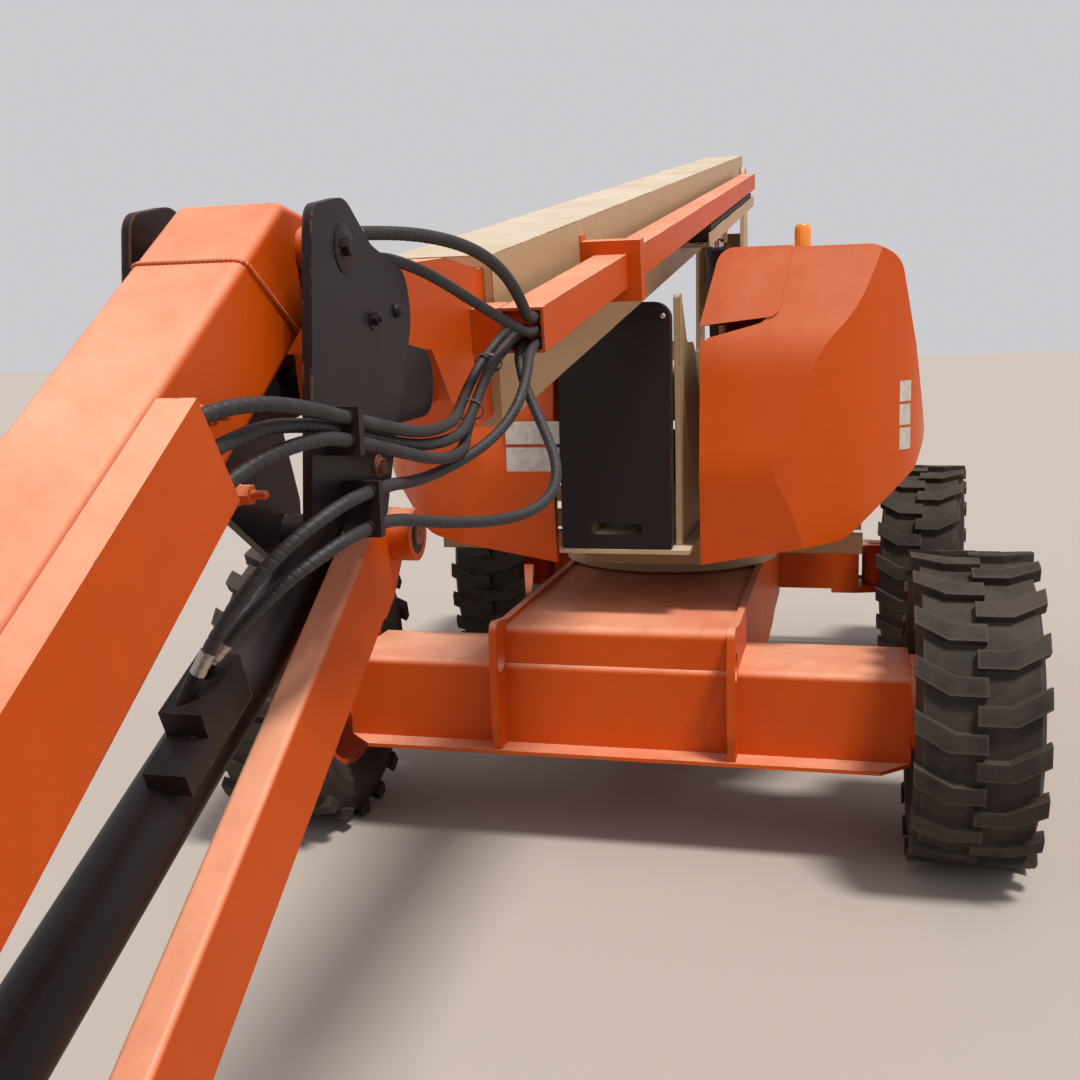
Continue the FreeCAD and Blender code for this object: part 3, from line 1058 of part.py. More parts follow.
def platform_floor():
    """The platform's floor frame with its kick plates."""
    x0, x1 = PLATFORM_NEAR, PLATFORM_NEAR + PLATFORM_DEPTH
    half = PLATFORM_WIDTH / 2
    top = FLOOR_BOTTOM + FLOOR_THICK
    floor = box(x0, x1, -half, half, FLOOR_BOTTOM, top)
    under = box(x0 + 40, x1 - 40, -half + 40, half - 40, FLOOR_BOTTOM - 1, top - 6)
    floor = floor.cut(under)
    pieces = [floor]
    pieces.append(box(x0 + DECK_INSET, x1 - DECK_INSET, DECK_INSET - half, half - DECK_INSET, top - 1, top + DECK_RAISE))
    for index in range(1, 6):
        y = -half + index * PLATFORM_WIDTH / 6
        pieces.append(box(x0 + 38, x1 - 38, y - 20, y + 20, FLOOR_BOTTOM, top - 4))
    for a, b in ((x0, x0 + KICK_THICK), (x1 - KICK_THICK, x1)):
        pieces.append(box(a, b, -half, half, top - 1, top + KICK_HEIGHT))
    pieces.append(box(x0, x1, half - KICK_THICK, half, top - 1, top + KICK_HEIGHT))
    return fused(pieces)


def platform_rails():
    """The welded guard rails between the corner posts and the gate's posts."""
    inset = RAIL_TUBE + KICK_THICK + 1
    x0, x1 = PLATFORM_NEAR + inset, PLATFORM_NEAR + PLATFORM_DEPTH - inset
    half = PLATFORM_WIDTH / 2 - inset
    low = FLOOR_BOTTOM + FLOOR_THICK
    high = low + RAIL_HEIGHT - RAIL_TUBE
    gate_x0, gate_x1 = gate_span()
    start_x = gate_x0 - GATE_POST
    end_x = gate_x1 + GATE_POST
    pieces = []
    for z in [low + h for h in MID_RAILS] + [high]:
        for x in (x0, x1):
            pieces.append(bar(V(x, -half, z), V(x, half, z), RAIL_TUBE))
        for y, start, end in ((half, x0, x1), (-half, x0, start_x), (-half, end_x, x1)):
            pieces.append(rod_x(y, z, RAIL_TUBE, start, end))
    for x in (x0, x1):
        for y in (-half / 2, 0, half / 2):
            pieces.append(rod_z(x, y, RAIL_POST, low, high))
        for y in (-half, half):
            pieces.append(rod_z(x, y, CORNER_POST, low, high + CORNER_POST))
    pieces.append(rod_z((x0 + x1) / 2, half, RAIL_POST, low, high))
    for x in (start_x, end_x):
        pieces.append(rod_z(x, -half, GATE_POST, low, high + GATE_POST))
    rails = pieces[0]
    for piece in pieces[1:]:
        rails = rails.fuse(piece)
    return rails


def gate_span():
    """The gate opening's two ends along X, between its post centres' inner sides."""
    middle = PLATFORM_NEAR + PLATFORM_DEPTH / 2
    return middle - GATE_WIDTH / 2, middle + GATE_WIDTH / 2


def gate():
    """The swing gate in the platform's right end."""
    r = RAIL_TUBE - 3
    half = PLATFORM_WIDTH / 2 - RAIL_TUBE - KICK_THICK - 1
    x0, x1 = gate_span()
    x0 += r + RUNNING_GAP
    x1 -= r + GATE_GAP
    low = FLOOR_BOTTOM + FLOOR_THICK + 160
    high = FLOOR_BOTTOM + FLOOR_THICK + RAIL_HEIGHT - RAIL_TUBE
    pieces = [rod_z(x0, -half, r, low, high), rod_z(x1, -half, r, low, high)]
    for z in (low, (low + high) / 2, high):
        pieces.append(rod_x(-half, z, r, x0, x1))
    for x in (x0, x1):
        pieces.append(Part.makeSphere(r, V(x, -half, high)))
        pieces.append(Part.makeSphere(r, V(x, -half, low)))
    return fused(pieces)


def control_box():
    """The operator's console on the near top rail."""
    r = RAIL_TUBE
    x = PLATFORM_NEAR + r + KICK_THICK + 1
    low = FLOOR_BOTTOM + FLOOR_THICK + RAIL_HEIGHT
    outline = ((x - 10, low + RUNNING_GAP), (x + 250, low + RUNNING_GAP), (x + 250, low + 90), (x - 10, low + 170))
    body = plate_y(outline, -300, 300, [8, 8, 16, 16])
    for y in (-220, 220):
        clamp = box(x - 10, x + 30, y - 20, y + 20, low - 60, low + 10)
        body = body.fuse(clamp.cut(rod_y(x, low - r, r + RUNNING_GAP, y - 30, y + 30)))
    return body.removeSplitter()


def build():
    """All the nodes, in the drawing frame."""
    wheel_y = OVERALL_WIDTH / 2 - TYRE_WIDTH / 2
    nodes = {
        "chassis_frame": chassis_frame(), "drive_axle": drive_axle(), "steer_axle": steer_axle(),
        "knuckle_left": knuckle(1), "knuckle_right": knuckle(-1), "tie_rod": tie_rod(),
        "turntable_frame": turntable_frame(), "hood_arms": hood_arms(), "hood_posts": hood_posts(),
        "counterweight": counterweight(), "engine": engine(),
        "hood_left": hood(True), "hood_right": mirrored(hood(False)), "hood_flap": hood_flap(),
        "front_cover": front_cover(), "beacon": beacon(),
        "tower_base": tower_base(), "tower_fly": tower_fly(), "upright": upright(),
        "main_boom_base": main_boom_base(), "tube_collar": tube_collar(), "power_track": power_track(),
        "fly_boom": fly_boom(), "track_tube": track_tube(), "jib_bracket": jib_bracket(),
        "jib_beam": jib_beam(), "hose_box": hose_box(), "jib_link": jib_link(),
        "platform_support": platform_support(), "platform_yoke": platform_yoke(),
        "platform_floor": platform_floor(), "platform_rails": platform_rails(), "gate": gate(),
        "control_box": control_box(),
    }
    tyres = {1: tyre()}
    tyres[-1] = mirrored(tyres[1])
    for name, x_sign, y_sign in WHEELS:
        place = V(x_sign * WHEELBASE / 2, y_sign * wheel_y, TYRE_RADIUS)
        for piece, shape in (("tyre_", tyres[y_sign]), ("rim_", rim(y_sign))):
            wheel = shape.copy()
            wheel.translate(place)
            if x_sign < 0:
                wheel.rotate(V(place.x, y_sign * KINGPIN_Y, 0), ALONG_Z, -y_sign * TOE_DEG)
            nodes[piece + name] = wheel
    for name, base, eye, spec in cylinders():
        nodes[name + "_barrel"], nodes[name + "_rod"] = cylinder_pair(base, eye, spec)
    nodes["jib_cylinder_barrel"] = fused([nodes["jib_cylinder_barrel"], valve_block()])
    for name in HOSE_ROUTES:
        nodes[name] = hose(name)
    return nodes


def valve_block():
    """The valve block on the jib cylinder's barrel with the fittings of its two hoses."""
    _, base, eye, spec = cylinders()[2]
    fall = math.degrees(math.atan2(base.z - eye.z, eye.x - base.x))
    low = spec["barrel"] - 8
    body = box(VALVE_START, VALVE_START + VALVE_LENGTH, VALVE_INNER_Y, VALVE_OUTER_Y, low, VALVE_TOP)
    step = box(VALVE_START + VALVE_LENGTH, VALVE_START + VALVE_LENGTH + 60, VALVE_INNER_Y, VALVE_OUTER_Y, low,
               VALVE_TOP - 34)
    block = fused([body, step])
    block.translate(V(base.x, 0, base.z))
    block = turned(block, base.x, base.z, -fall)
    fittings = [end_fitting(name, VALVE_FITTING) for name in ("hose_low_valve", "hose_drop_valve")]
    return fused([block] + fittings)


def cylinders():
    """The three lift cylinders: name, base pin, eye and sizes."""
    tower_lug = lug_point(TOWER_PIVOT_X, TOWER_PIVOT_Z, -TOWER_LUG_ALONG, TOWER_BASE_HEIGHT / 2 + TOWER_LUG_DROP,
                          TOWER_FALL_DEG)
    main_lug = lug_point(MAIN_PIVOT_X, MAIN_PIVOT_Z, MAIN_LUG_ALONG, BOOM_HEIGHT - BOOM_TOP + MAIN_LUG_DROP,
                         -BOOM_FALL_DEG)
    jib_lug = lug_point(JIB_PIVOT_X, JIB_PIVOT_Z, CYL_LUG_ALONG, JIB_HEIGHT / 2 + CYL_LUG_DROP,
                        -JIB_FALL_DEG)
    return (("tower_cylinder", V(TOWER_CYL_X, 0, TOWER_CYL_Z), tower_lug, TOWER_CYL),
            ("main_cylinder", V(MAIN_BASE_X, 0, MAIN_BASE_Z), main_lug, MAIN_CYL),
            ("jib_cylinder", V(LINK_PIVOT_X, 0, LINK_PIVOT_Z), jib_lug, JIB_CYL))


def footprint_shift(nodes):
    """The move that puts the zero at the middle of the machine's box; the ground is already at zero."""
    boxes = [shape.optimalBoundingBox(False) for name, shape in nodes.items() if not name.startswith("tyre_")]
    x_mid = (min(b.XMin for b in boxes) + max(b.XMax for b in boxes)) / 2
    return V(-x_mid, 0, 0)


def main():
    """Build every node, move it to the part's own zero and write its file."""
    nodes = build()
    shift = footprint_shift(nodes)
    os.makedirs("parts", exist_ok=True)
    for name, shape in nodes.items():
        shape.translate(shift)
        if not shape.isValid():
            print("not valid:", name)
        if len(shape.Solids) != 1:
            print("solids in", name, len(shape.Solids))
        shape.exportStep("parts/" + name + ".step")
    print("shift", round(shift.x, 3), round(shift.z, 3), "nodes", len(nodes))


if __name__ == "__main__":
    main()
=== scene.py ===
"""The looks of an articulating boom lift: its paint, rubber, hoses, labels and small fittings."""

import logging
import math
from dataclasses import dataclass
from enum import Enum

import bpy
import numpy as np
from mathutils import Matrix, Vector


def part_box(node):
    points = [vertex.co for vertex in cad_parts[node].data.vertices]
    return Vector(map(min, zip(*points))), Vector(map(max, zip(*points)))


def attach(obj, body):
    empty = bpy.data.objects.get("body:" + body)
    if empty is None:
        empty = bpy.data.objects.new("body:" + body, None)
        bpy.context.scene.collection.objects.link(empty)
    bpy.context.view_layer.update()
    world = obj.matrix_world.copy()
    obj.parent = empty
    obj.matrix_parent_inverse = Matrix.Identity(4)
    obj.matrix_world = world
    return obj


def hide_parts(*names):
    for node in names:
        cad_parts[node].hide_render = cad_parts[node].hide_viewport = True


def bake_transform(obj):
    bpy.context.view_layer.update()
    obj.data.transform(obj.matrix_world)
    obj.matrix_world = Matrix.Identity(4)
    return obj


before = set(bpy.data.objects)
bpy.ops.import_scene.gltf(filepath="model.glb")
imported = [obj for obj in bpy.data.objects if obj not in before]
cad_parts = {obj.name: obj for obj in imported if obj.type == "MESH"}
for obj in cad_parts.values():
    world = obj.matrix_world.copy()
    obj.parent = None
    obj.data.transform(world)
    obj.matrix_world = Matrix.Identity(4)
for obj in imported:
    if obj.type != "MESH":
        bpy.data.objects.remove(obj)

log = logging.getLogger("boom_lift")
Colour = tuple[float, float, float]
Place = tuple[float, float, float]

# The part's zero is the middle of its footprint; the turntable's swing centre lies at this X.
SWING_X = -1.953467


@dataclass(frozen=True)
class Viewpoint:
    """Where the photograph was taken from, in metres and degrees, and its lens."""

    position: Place = (5.074 + SWING_X, 0.709, 1.642)
    heading: float = 14.08
    down: float = 9.56
    roll: float = -1.53
    focal_px: float = 1244.1
    frame_px: float = 1080.0
    sensor_mm: float = 36.0


class Surface(Enum):
    """The finishes that the machine's pieces are given."""

    ORANGE = "orange_coat"
    HOOD = "hood_coat"
    CREAM = "cream_coat"
    DARK = "dark_coat"
    IRON = "cast_iron_coat"
    RUBBER = "tread_rubber"
    CHROME = "rod_chrome"
    PLASTIC = "black_plastic"
    LENS = "amber_lens"
    HOSE = "hose_rubber"
    ZINC = "plated_steel"
    RUSTY = "rusty_steel"
    LABEL = "blank_label"


class Wiring:
    """A node tree under construction: adds nodes and joins their sockets."""

    def __init__(self, tree: bpy.types.NodeTree) -> None:
        """Starts on an empty or existing tree.

        Args:
            tree: the material's or group's node tree.
        """
        self.tree = tree

    def add(self, kind: str, sockets: dict | None = None, **settings: object) -> bpy.types.Node:
        """Adds a node and fills its inputs.

        Args:
            kind: the node's type name.
            sockets: values or output sockets for its inputs, by name or number.
            **settings: the node's own properties.

        Returns:
            The new node.
        """
        node = self.tree.nodes.new(kind)
        for key, value in settings.items():
            setattr(node, key, value)
        for key, value in (sockets or {}).items():
            if isinstance(value, bpy.types.NodeSocket):
                self.tree.links.new(value, node.inputs[key])
            else:
                node.inputs[key].default_value = value
        return node

    def math(self, operation: str, first: object, second: object = 0.0,
             third: object = 0.0) -> bpy.types.NodeSocket:
        """The result of one sum on numbers or sockets, kept from 0 to 1 where its name ends in _CLAMP.

        Args:
            operation: the sum's name, ending in _CLAMP for a clamped result.
            first: the first number or socket.
            second: the second number or socket.
            third: the third number or socket, where the sum has one.

        Returns:
            The result's socket.
        """
        clamp = operation.endswith("_CLAMP")
        name = operation.removesuffix("_CLAMP")
        node = self.add("ShaderNodeMath", {0: first, 1: second, 2: third}, operation=name, use_clamp=clamp)
        return node.outputs[0]

    def ramp(self, value: object, low: float, high: float) -> bpy.types.NodeSocket:
        """A smooth step of the value from 0 at low to 1 at high.

        Args:
            value: the number or socket.
            low: where the step starts.
            high: where it ends.

        Returns:
            The step's socket.
        """
        node = self.add("ShaderNodeMapRange", {"Value": value, "From Min": low, "From Max": high},
                        interpolation_type="SMOOTHSTEP")
        return node.outputs["Result"]

    def mix(self, share: object, first: object, second: object) -> bpy.types.NodeSocket:
        """Two colours mixed.

        Args:
            share: how much of the second one.
            first: a colour or socket.
            second: a colour or socket.

        Returns:
            The colour's socket.
        """
        node = self.add("ShaderNodeMix", {0: share, 6: first, 7: second}, data_type="RGBA",
                        clamp_factor=True)
        return node.outputs[2]

    def noise(self, place: bpy.types.NodeSocket, scale: object, detail: float = 4.0,
              rough: float = 0.6, warp: float = 0.0) -> bpy.types.NodeSocket:
        """Cloudy noise between about 0.2 and 0.8.

        Args:
            place: the coordinates' socket.
            scale: how many patches to a metre.
            detail: how many finer layers.
            rough: how strong the finer layers are.
            warp: how far the pattern is pulled about.

        Returns:
            The noise's socket.
        """
        node = self.add("ShaderNodeTexNoise", {"Vector": place, "Scale": scale, "Detail": detail,
                                               "Roughness": rough, "Distortion": warp})
        return node.outputs["Fac"]


def rgba(colour: Colour) -> tuple[float, float, float, float]:
    """The colour with full opacity."""
    return (*colour, 1.0)


@dataclass(frozen=True)
class Coat:
    """A machine paint, how far weather and work have taken it, and the painted sky sheen that lightens its
    tops.
    """

    surface: Surface
    colour: Colour
    # Colour for the up-facing faces: real sun fade, and also a painted sky sheen on the tops.
    sheen_and_faded: Colour
    under: Colour
    roughness: float
    # How much of that faded colour and painted sky sheen the up-facing faces get.
    fade: float
    chips: float
    dust: float
    gloss: float
    mottle: float = 0.12


# Each coat's faded colour is partly real sun fade and partly a painted sky sheen that lightens the top faces.
COATS = (
    Coat(Surface.ORANGE, colour=(0.58, 0.074, 0.001), sheen_and_faded=(0.80, 0.37, 0.23), under=(0.11, 0.042, 0.024),
         roughness=0.50, fade=0.90, chips=0.62, dust=0.08, gloss=0.05),
    Coat(Surface.HOOD, colour=(0.59, 0.078, 0.001), sheen_and_faded=(0.82, 0.42, 0.28), under=(0.14, 0.045, 0.026),
         roughness=0.36, fade=0.90, chips=0.12, dust=0.08, gloss=0.25),
    Coat(Surface.CREAM, colour=(0.47, 0.325, 0.180), sheen_and_faded=(0.66, 0.57, 0.45), under=(0.17, 0.065, 0.030),
         roughness=0.52, fade=0.85, chips=0.72, dust=0.20, gloss=0.05),
    Coat(Surface.DARK, colour=(0.015, 0.009, 0.010), sheen_and_faded=(0.032, 0.024, 0.027), under=(0.07, 0.035, 0.024),
         roughness=0.50, fade=0.60, chips=0.42, dust=0.10, gloss=0.10),
    Coat(Surface.IRON, colour=(0.045, 0.036, 0.032), sheen_and_faded=(0.09, 0.08, 0.075), under=(0.12, 0.06, 0.04),
         roughness=0.62, fade=0.60, chips=0.45, dust=0.35, gloss=0.10),
)


class PaintShop:
    """Makes the shader groups once and every material from them."""

    def __init__(self) -> None:
        """Builds the groups that the finishes share."""
        self.film = self._film_group()
        self.wear = self._wear_group()
        self.dust = self._dust_group()
        self.made: dict[Surface, bpy.types.Material] = {}

    @staticmethod
    def _group(name: str, inputs: dict[str, object],
               outputs: dict[str, str]) -> tuple[Wiring, object, object]:
        """An empty shader group with named sockets.

        Args:
            name: the group's name.
            inputs: each input's starting value, by name.
            outputs: each output's socket type, by name.

        Returns:
            The group's wiring, its input node's sockets and its output node.
        """
        tree = bpy.data.node_groups.new(name, "ShaderNodeTree")
        for key, value in inputs.items():
            kind = "NodeSocketColor" if isinstance(value, tuple) else "NodeSocketFloat"
            socket = tree.interface.new_socket(name=key, in_out="INPUT", socket_type=kind)
            socket.default_value = value
        for key, kind in outputs.items():
            tree.interface.new_socket(name=key, in_out="OUTPUT", socket_type=kind)
        wiring = Wiring(tree)
        return wiring, wiring.add("NodeGroupInput").outputs, wiring.add("NodeGroupOutput")

    def _film_group(self) -> bpy.types.NodeTree:
        """Paint that pales where it faces the sky, in patches, with a slightly uneven film; the paling is
        real sun fade and also a painted sky sheen on the top faces.
        """
        white = (1.0, 1.0, 1.0, 1.0)
        wiring, given, result = self._group(
            "paint_film_and_sheen",
            {"Colour": white, "Sheen And Faded": white, "Fade": 0.5, "Mottle": 0.1, "Roughness": 0.4},
            {"Colour": "NodeSocketColor", "Roughness": "NodeSocketFloat", "Height": "NodeSocketFloat"})
        coords = wiring.add("ShaderNodeTexCoord").outputs
        facing = wiring.add("ShaderNodeSeparateXYZ", {0: coords["Normal"]}).outputs["Z"]
        # Up-facing mask: paints the tops lighter, as sun fade and as a painted sky sheen.
        sky = wiring.ramp(facing, 0.05, 0.85)
        patches = wiring.noise(coords["Object"], 1.7, 5.0, 0.62, 0.6)
        streaks = wiring.noise(coords["Object"], 9.0, 6.0, 0.7, 0.3)
        share = wiring.math("MULTIPLY_ADD", patches, 0.9, -0.2)
        share = wiring.math("ADD", share, wiring.math("MULTIPLY", streaks, 0.25))
        share = wiring.math("MULTIPLY", share, wiring.math("MULTIPLY", sky, 1.7))
        share = wiring.math("MULTIPLY_CLAMP", share, wiring.math("MULTIPLY", given["Fade"], 1.3))
        # Mixes in the faded colour, which also carries the painted sky sheen on the tops.
        colour = wiring.mix(share, given["Colour"], given["Sheen And Faded"])
        spots = wiring.math("MULTIPLY_ADD", streaks, -1.6, 1.3)
        dark = wiring.math("MULTIPLY_CLAMP", spots, given["Mottle"])
        colour = wiring.mix(dark, colour, (0.03, 0.018, 0.012, 1.0))
        rough = wiring.math("MULTIPLY_ADD", patches, 0.22, -0.11)
        rough = wiring.math("ADD_CLAMP", rough, given["Roughness"])
        peel = wiring.noise(coords["Object"], 260.0, 2.0, 0.5)
        swell = wiring.noise(coords["Object"], 14.0, 2.0, 0.5)
        height = wiring.math("MULTIPLY_ADD", swell, 3.0, peel)
        links = wiring.tree.links
        links.new(colour, result.inputs["Colour"])
        links.new(rough, result.inputs["Roughness"])
        links.new(height, result.inputs["Height"])
        return wiring.tree

    def _wear_group(self) -> bpy.types.NodeTree:
        """Where paint is rubbed off: broken lines along the edges and scattered chips."""
        wiring, given, result = self._group(
            "edge_wear", {"Amount": 0.5, "Reach": 0.006, "Scale": 1.0},
            {"Mask": "NodeSocketFloat", "Rust": "NodeSocketFloat"})
        coords = wiring.add("ShaderNodeTexCoord").outputs
        bevel = wiring.add("ShaderNodeBevel", {"Radius": given["Reach"]}, samples=6).outputs[0]
        true = wiring.add("ShaderNodeNewGeometry").outputs["Normal"]
        product = wiring.add("ShaderNodeVectorMath", {0: bevel, 1: true}, operation="DOT_PRODUCT")
        dot = product.outputs["Value"]
        edge = wiring.ramp(wiring.math("SUBTRACT", 1.0, dot), 0.01, 0.16)
        ragged = wiring.noise(coords["Object"], wiring.math("MULTIPLY", given["Scale"], 34.0), 5.0, 0.75)
        where = wiring.noise(coords["Object"], wiring.math("MULTIPLY", given["Scale"], 3.1), 3.0, 0.6)
        both = wiring.math("ADD", ragged, wiring.math("MULTIPLY", where, 1.1))
        limit = wiring.math("MULTIPLY_ADD", given["Amount"], -0.42, 1.32)
        torn = wiring.ramp(wiring.math("SUBTRACT", both, limit), 0.0, 0.05)
        edge = wiring.math("MULTIPLY", edge, torn)
        fine = wiring.math("MULTIPLY", given["Scale"], 21.0)
        spots = wiring.noise(coords["Object"], fine, 6.0, 0.8, 0.4)
        chips = wiring.math("ADD", spots, wiring.math("MULTIPLY", where, 0.5))
        chip_limit = wiring.math("MULTIPLY_ADD", given["Amount"], -0.12, 1.09)
        chips = wiring.ramp(wiring.math("SUBTRACT", chips, chip_limit), 0.0, 0.02)
        mask = wiring.math("MAXIMUM", edge, chips)
        links = wiring.tree.links
        links.new(mask, result.inputs["Mask"])
        links.new(ragged, result.inputs["Rust"])
        return wiring.tree

    def _dust_group(self) -> bpy.types.NodeTree:
        """Dust that settles on what faces up and is thrown up from the ground."""
        wiring, given, result = self._group(
            "road_dust", {"Amount": 0.5, "Reach": 0.9}, {"Mask": "NodeSocketFloat"})
        coords = wiring.add("ShaderNodeTexCoord").outputs
        high = wiring.add("ShaderNodeSeparateXYZ", {0: coords["Object"]}).outputs["Z"]
        facing = wiring.add("ShaderNodeSeparateXYZ", {0: coords["Normal"]}).outputs["Z"]
        low = wiring.math("SUBTRACT_CLAMP", 1.0, wiring.math("DIVIDE", high, given["Reach"]))
        lying = wiring.math("MULTIPLY", wiring.ramp(facing, 0.3, 1.0), 0.55)
        cloud = wiring.noise(coords["Object"], 5.5, 7.0, 0.72, 0.8)
        total = wiring.math("ADD", wiring.math("MULTIPLY", low, 0.7), lying)
        total = wiring.math("MULTIPLY", total, wiring.ramp(cloud, 0.25, 0.75))
        total = wiring.math("MULTIPLY_CLAMP", total, given["Amount"])
        wiring.tree.links.new(total, result.inputs["Mask"])
        return wiring.tree

    def _start(self, name: str) -> tuple[Wiring, bpy.types.Node]:
        """A new material.

        Args:
            name: its name.

        Returns:
            Its wiring and its main shader.
        """
        material = bpy.data.materials.new(name)
        material.use_nodes = True
        wiring = Wiring(material.node_tree)
        return wiring, material.node_tree.nodes["Principled BSDF"]

    def _place(self, wiring: Wiring, group: bpy.types.NodeTree, sockets: dict) -> bpy.types.Node:
        """Puts a shared group into a material.

        Args:
            wiring: the material's wiring.
            group: the shader group.
            sockets: its inputs' values or sockets.

        Returns:
            The group's node.
        """
        node = wiring.add("ShaderNodeGroup", node_tree=group)
        for key, value in sockets.items():
            if isinstance(value, bpy.types.NodeSocket):
                wiring.tree.links.new(value, node.inputs[key])
            else:
                node.inputs[key].default_value = value
        return node

    def coat(self, coat: Coat) -> bpy.types.Material:
        """A worn machine paint.

        Args:
            coat: the paint's colours and wear.

        Returns:
            Its material.
        """
        wiring, shader = self._start(coat.surface.value)
        # The film group lightens the tops with the faded colour: sun fade, and a painted sky sheen.
        film = self._place(wiring, self.film, {
            "Colour": rgba(coat.colour), "Sheen And Faded": rgba(coat.sheen_and_faded), "Fade": coat.fade, "Mottle": coat.mottle,
            "Roughness": coat.roughness}).outputs
        wear = self._place(wiring, self.wear, {"Amount": coat.chips}).outputs
        dust = self._place(wiring, self.dust, {"Amount": coat.dust}).outputs
        rust = wiring.mix(wear["Rust"], rgba(coat.under), (0.22, 0.10, 0.055, 1.0))
        colour = wiring.mix(wear["Mask"], film["Colour"], rust)
        colour = wiring.mix(dust["Mask"], colour, (0.36, 0.29, 0.23, 1.0))
        rough = wiring.math("MULTIPLY_ADD", wear["Mask"], 0.35, film["Roughness"])
        rough = wiring.math("MULTIPLY_ADD", dust["Mask"], 0.5, rough)
        height = wiring.math("MULTIPLY_ADD", wear["Mask"], -2.0, film["Height"])
        bump = wiring.add("ShaderNodeBump", {"Height": height, "Strength": 0.35, "Distance": 0.0006})
        links = wiring.tree.links
        links.new(colour, shader.inputs["Base Color"])
        links.new(rough, shader.inputs["Roughness"])
        links.new(bump.outputs["Normal"], shader.inputs["Normal"])
        shader.inputs["Coat Weight"].default_value = coat.gloss
        shader.inputs["Coat Roughness"].default_value = 0.18
        shader.inputs["Specular IOR Level"].default_value = 0.15
        return self._keep(coat.surface, wiring)

    def _keep(self, surface: Surface, wiring: Wiring) -> bpy.types.Material:
        """Files the finished material under its surface."""
        material = next(m for m in bpy.data.materials if m.node_tree == wiring.tree)
        self.made[surface] = material
        return material

    def rubber(self) -> bpy.types.Material:
        """Tread rubber, grey with dust where it stands proud and scuffed at its edges."""
        wiring, shader = self._start(Surface.RUBBER.value)
        coords = wiring.add("ShaderNodeTexCoord").outputs
        wear = self._place(wiring, self.wear, {"Amount": 1.0, "Reach": 0.016}).outputs
        dust = self._place(wiring, self.dust, {"Amount": 0.55, "Reach": 1.6}).outputs
        cloud = wiring.noise(coords["Object"], 11.0, 8.0, 0.7, 0.5)
        colour = wiring.mix(wiring.ramp(cloud, 0.3, 0.75), (0.011, 0.008, 0.007, 1.0),
                            (0.034, 0.025, 0.020, 1.0))
        colour = wiring.mix(wiring.math("MULTIPLY", wear["Mask"], 0.6), colour, (0.085, 0.066, 0.054, 1.0))
        colour = wiring.mix(dust["Mask"], colour, (0.12, 0.092, 0.072, 1.0))
        fine = wiring.noise(coords["Object"], 120.0, 6.0, 0.75)
        bump = wiring.add("ShaderNodeBump", {"Height": fine, "Strength": 0.5, "Distance": 0.002})
        rough = wiring.math("MULTIPLY_ADD", cloud, 0.25, 0.62)
        links = wiring.tree.links
        links.new(colour, shader.inputs["Base Color"])
        links.new(rough, shader.inputs["Roughness"])
        links.new(bump.outputs["Normal"], shader.inputs["Normal"])
        shader.inputs["Specular IOR Level"].default_value = 0.3
        return self._keep(Surface.RUBBER, wiring)

    def chrome(self) -> bpy.types.Material:
        """A hard-chromed rod with an oily film."""
        wiring, shader = self._start(Surface.CHROME.value)
        coords = wiring.add("ShaderNodeTexCoord").outputs
        film = wiring.noise(coords["Object"], 18.0, 4.0, 0.6, 0.5)
        colour = wiring.mix(film, (0.60, 0.60, 0.60, 1.0), (0.42, 0.40, 0.37, 1.0))
        rough = wiring.math("MULTIPLY_ADD", film, 0.3, 0.02)
        links = wiring.tree.links
        links.new(colour, shader.inputs["Base Color"])
        links.new(rough, shader.inputs["Roughness"])
        shader.inputs["Metallic"].default_value = 1.0
        return self._keep(Surface.CHROME, wiring)

    def plastic(self) -> bpy.types.Material:
        """Black moulded plastic with a fine grain and dust."""
        wiring, shader = self._start(Surface.PLASTIC.value)
        coords = wiring.add("ShaderNodeTexCoord").outputs
        dust = self._place(wiring, self.dust, {"Amount": 0.5, "Reach": 4.0}).outputs
        cloud = wiring.noise(coords["Object"], 13.0, 5.0, 0.65)
        colour = wiring.mix(cloud, (0.016, 0.014, 0.013, 1.0), (0.045, 0.040, 0.038, 1.0))
        colour = wiring.mix(dust["Mask"], colour, (0.20, 0.17, 0.14, 1.0))
        grain = wiring.noise(coords["Object"], 420.0, 2.0, 0.5)
        bump = wiring.add("ShaderNodeBump", {"Height": grain, "Strength": 0.25, "Distance": 0.0006})
        rough = wiring.math("MULTIPLY_ADD", cloud, 0.25, 0.42)
        links = wiring.tree.links
        links.new(colour, shader.inputs["Base Color"])
        links.new(rough, shader.inputs["Roughness"])
        links.new(bump.outputs["Normal"], shader.inputs["Normal"])
        return self._keep(Surface.PLASTIC, wiring)

    def lens(self) -> bpy.types.Material:
        """The beacon's amber lens."""
        wiring, shader = self._start(Surface.LENS.value)
        coords = wiring.add("ShaderNodeTexCoord").outputs
        cloud = wiring.noise(coords["Object"], 30.0, 3.0, 0.5)
        colour = wiring.mix(cloud, (0.85, 0.30, 0.02, 1.0), (0.72, 0.22, 0.01, 1.0))
        wiring.tree.links.new(colour, shader.inputs["Base Color"])
        shader.inputs["Roughness"].default_value = 0.12
        shader.inputs["Coat Weight"].default_value = 0.6
        return self._keep(Surface.LENS, wiring)

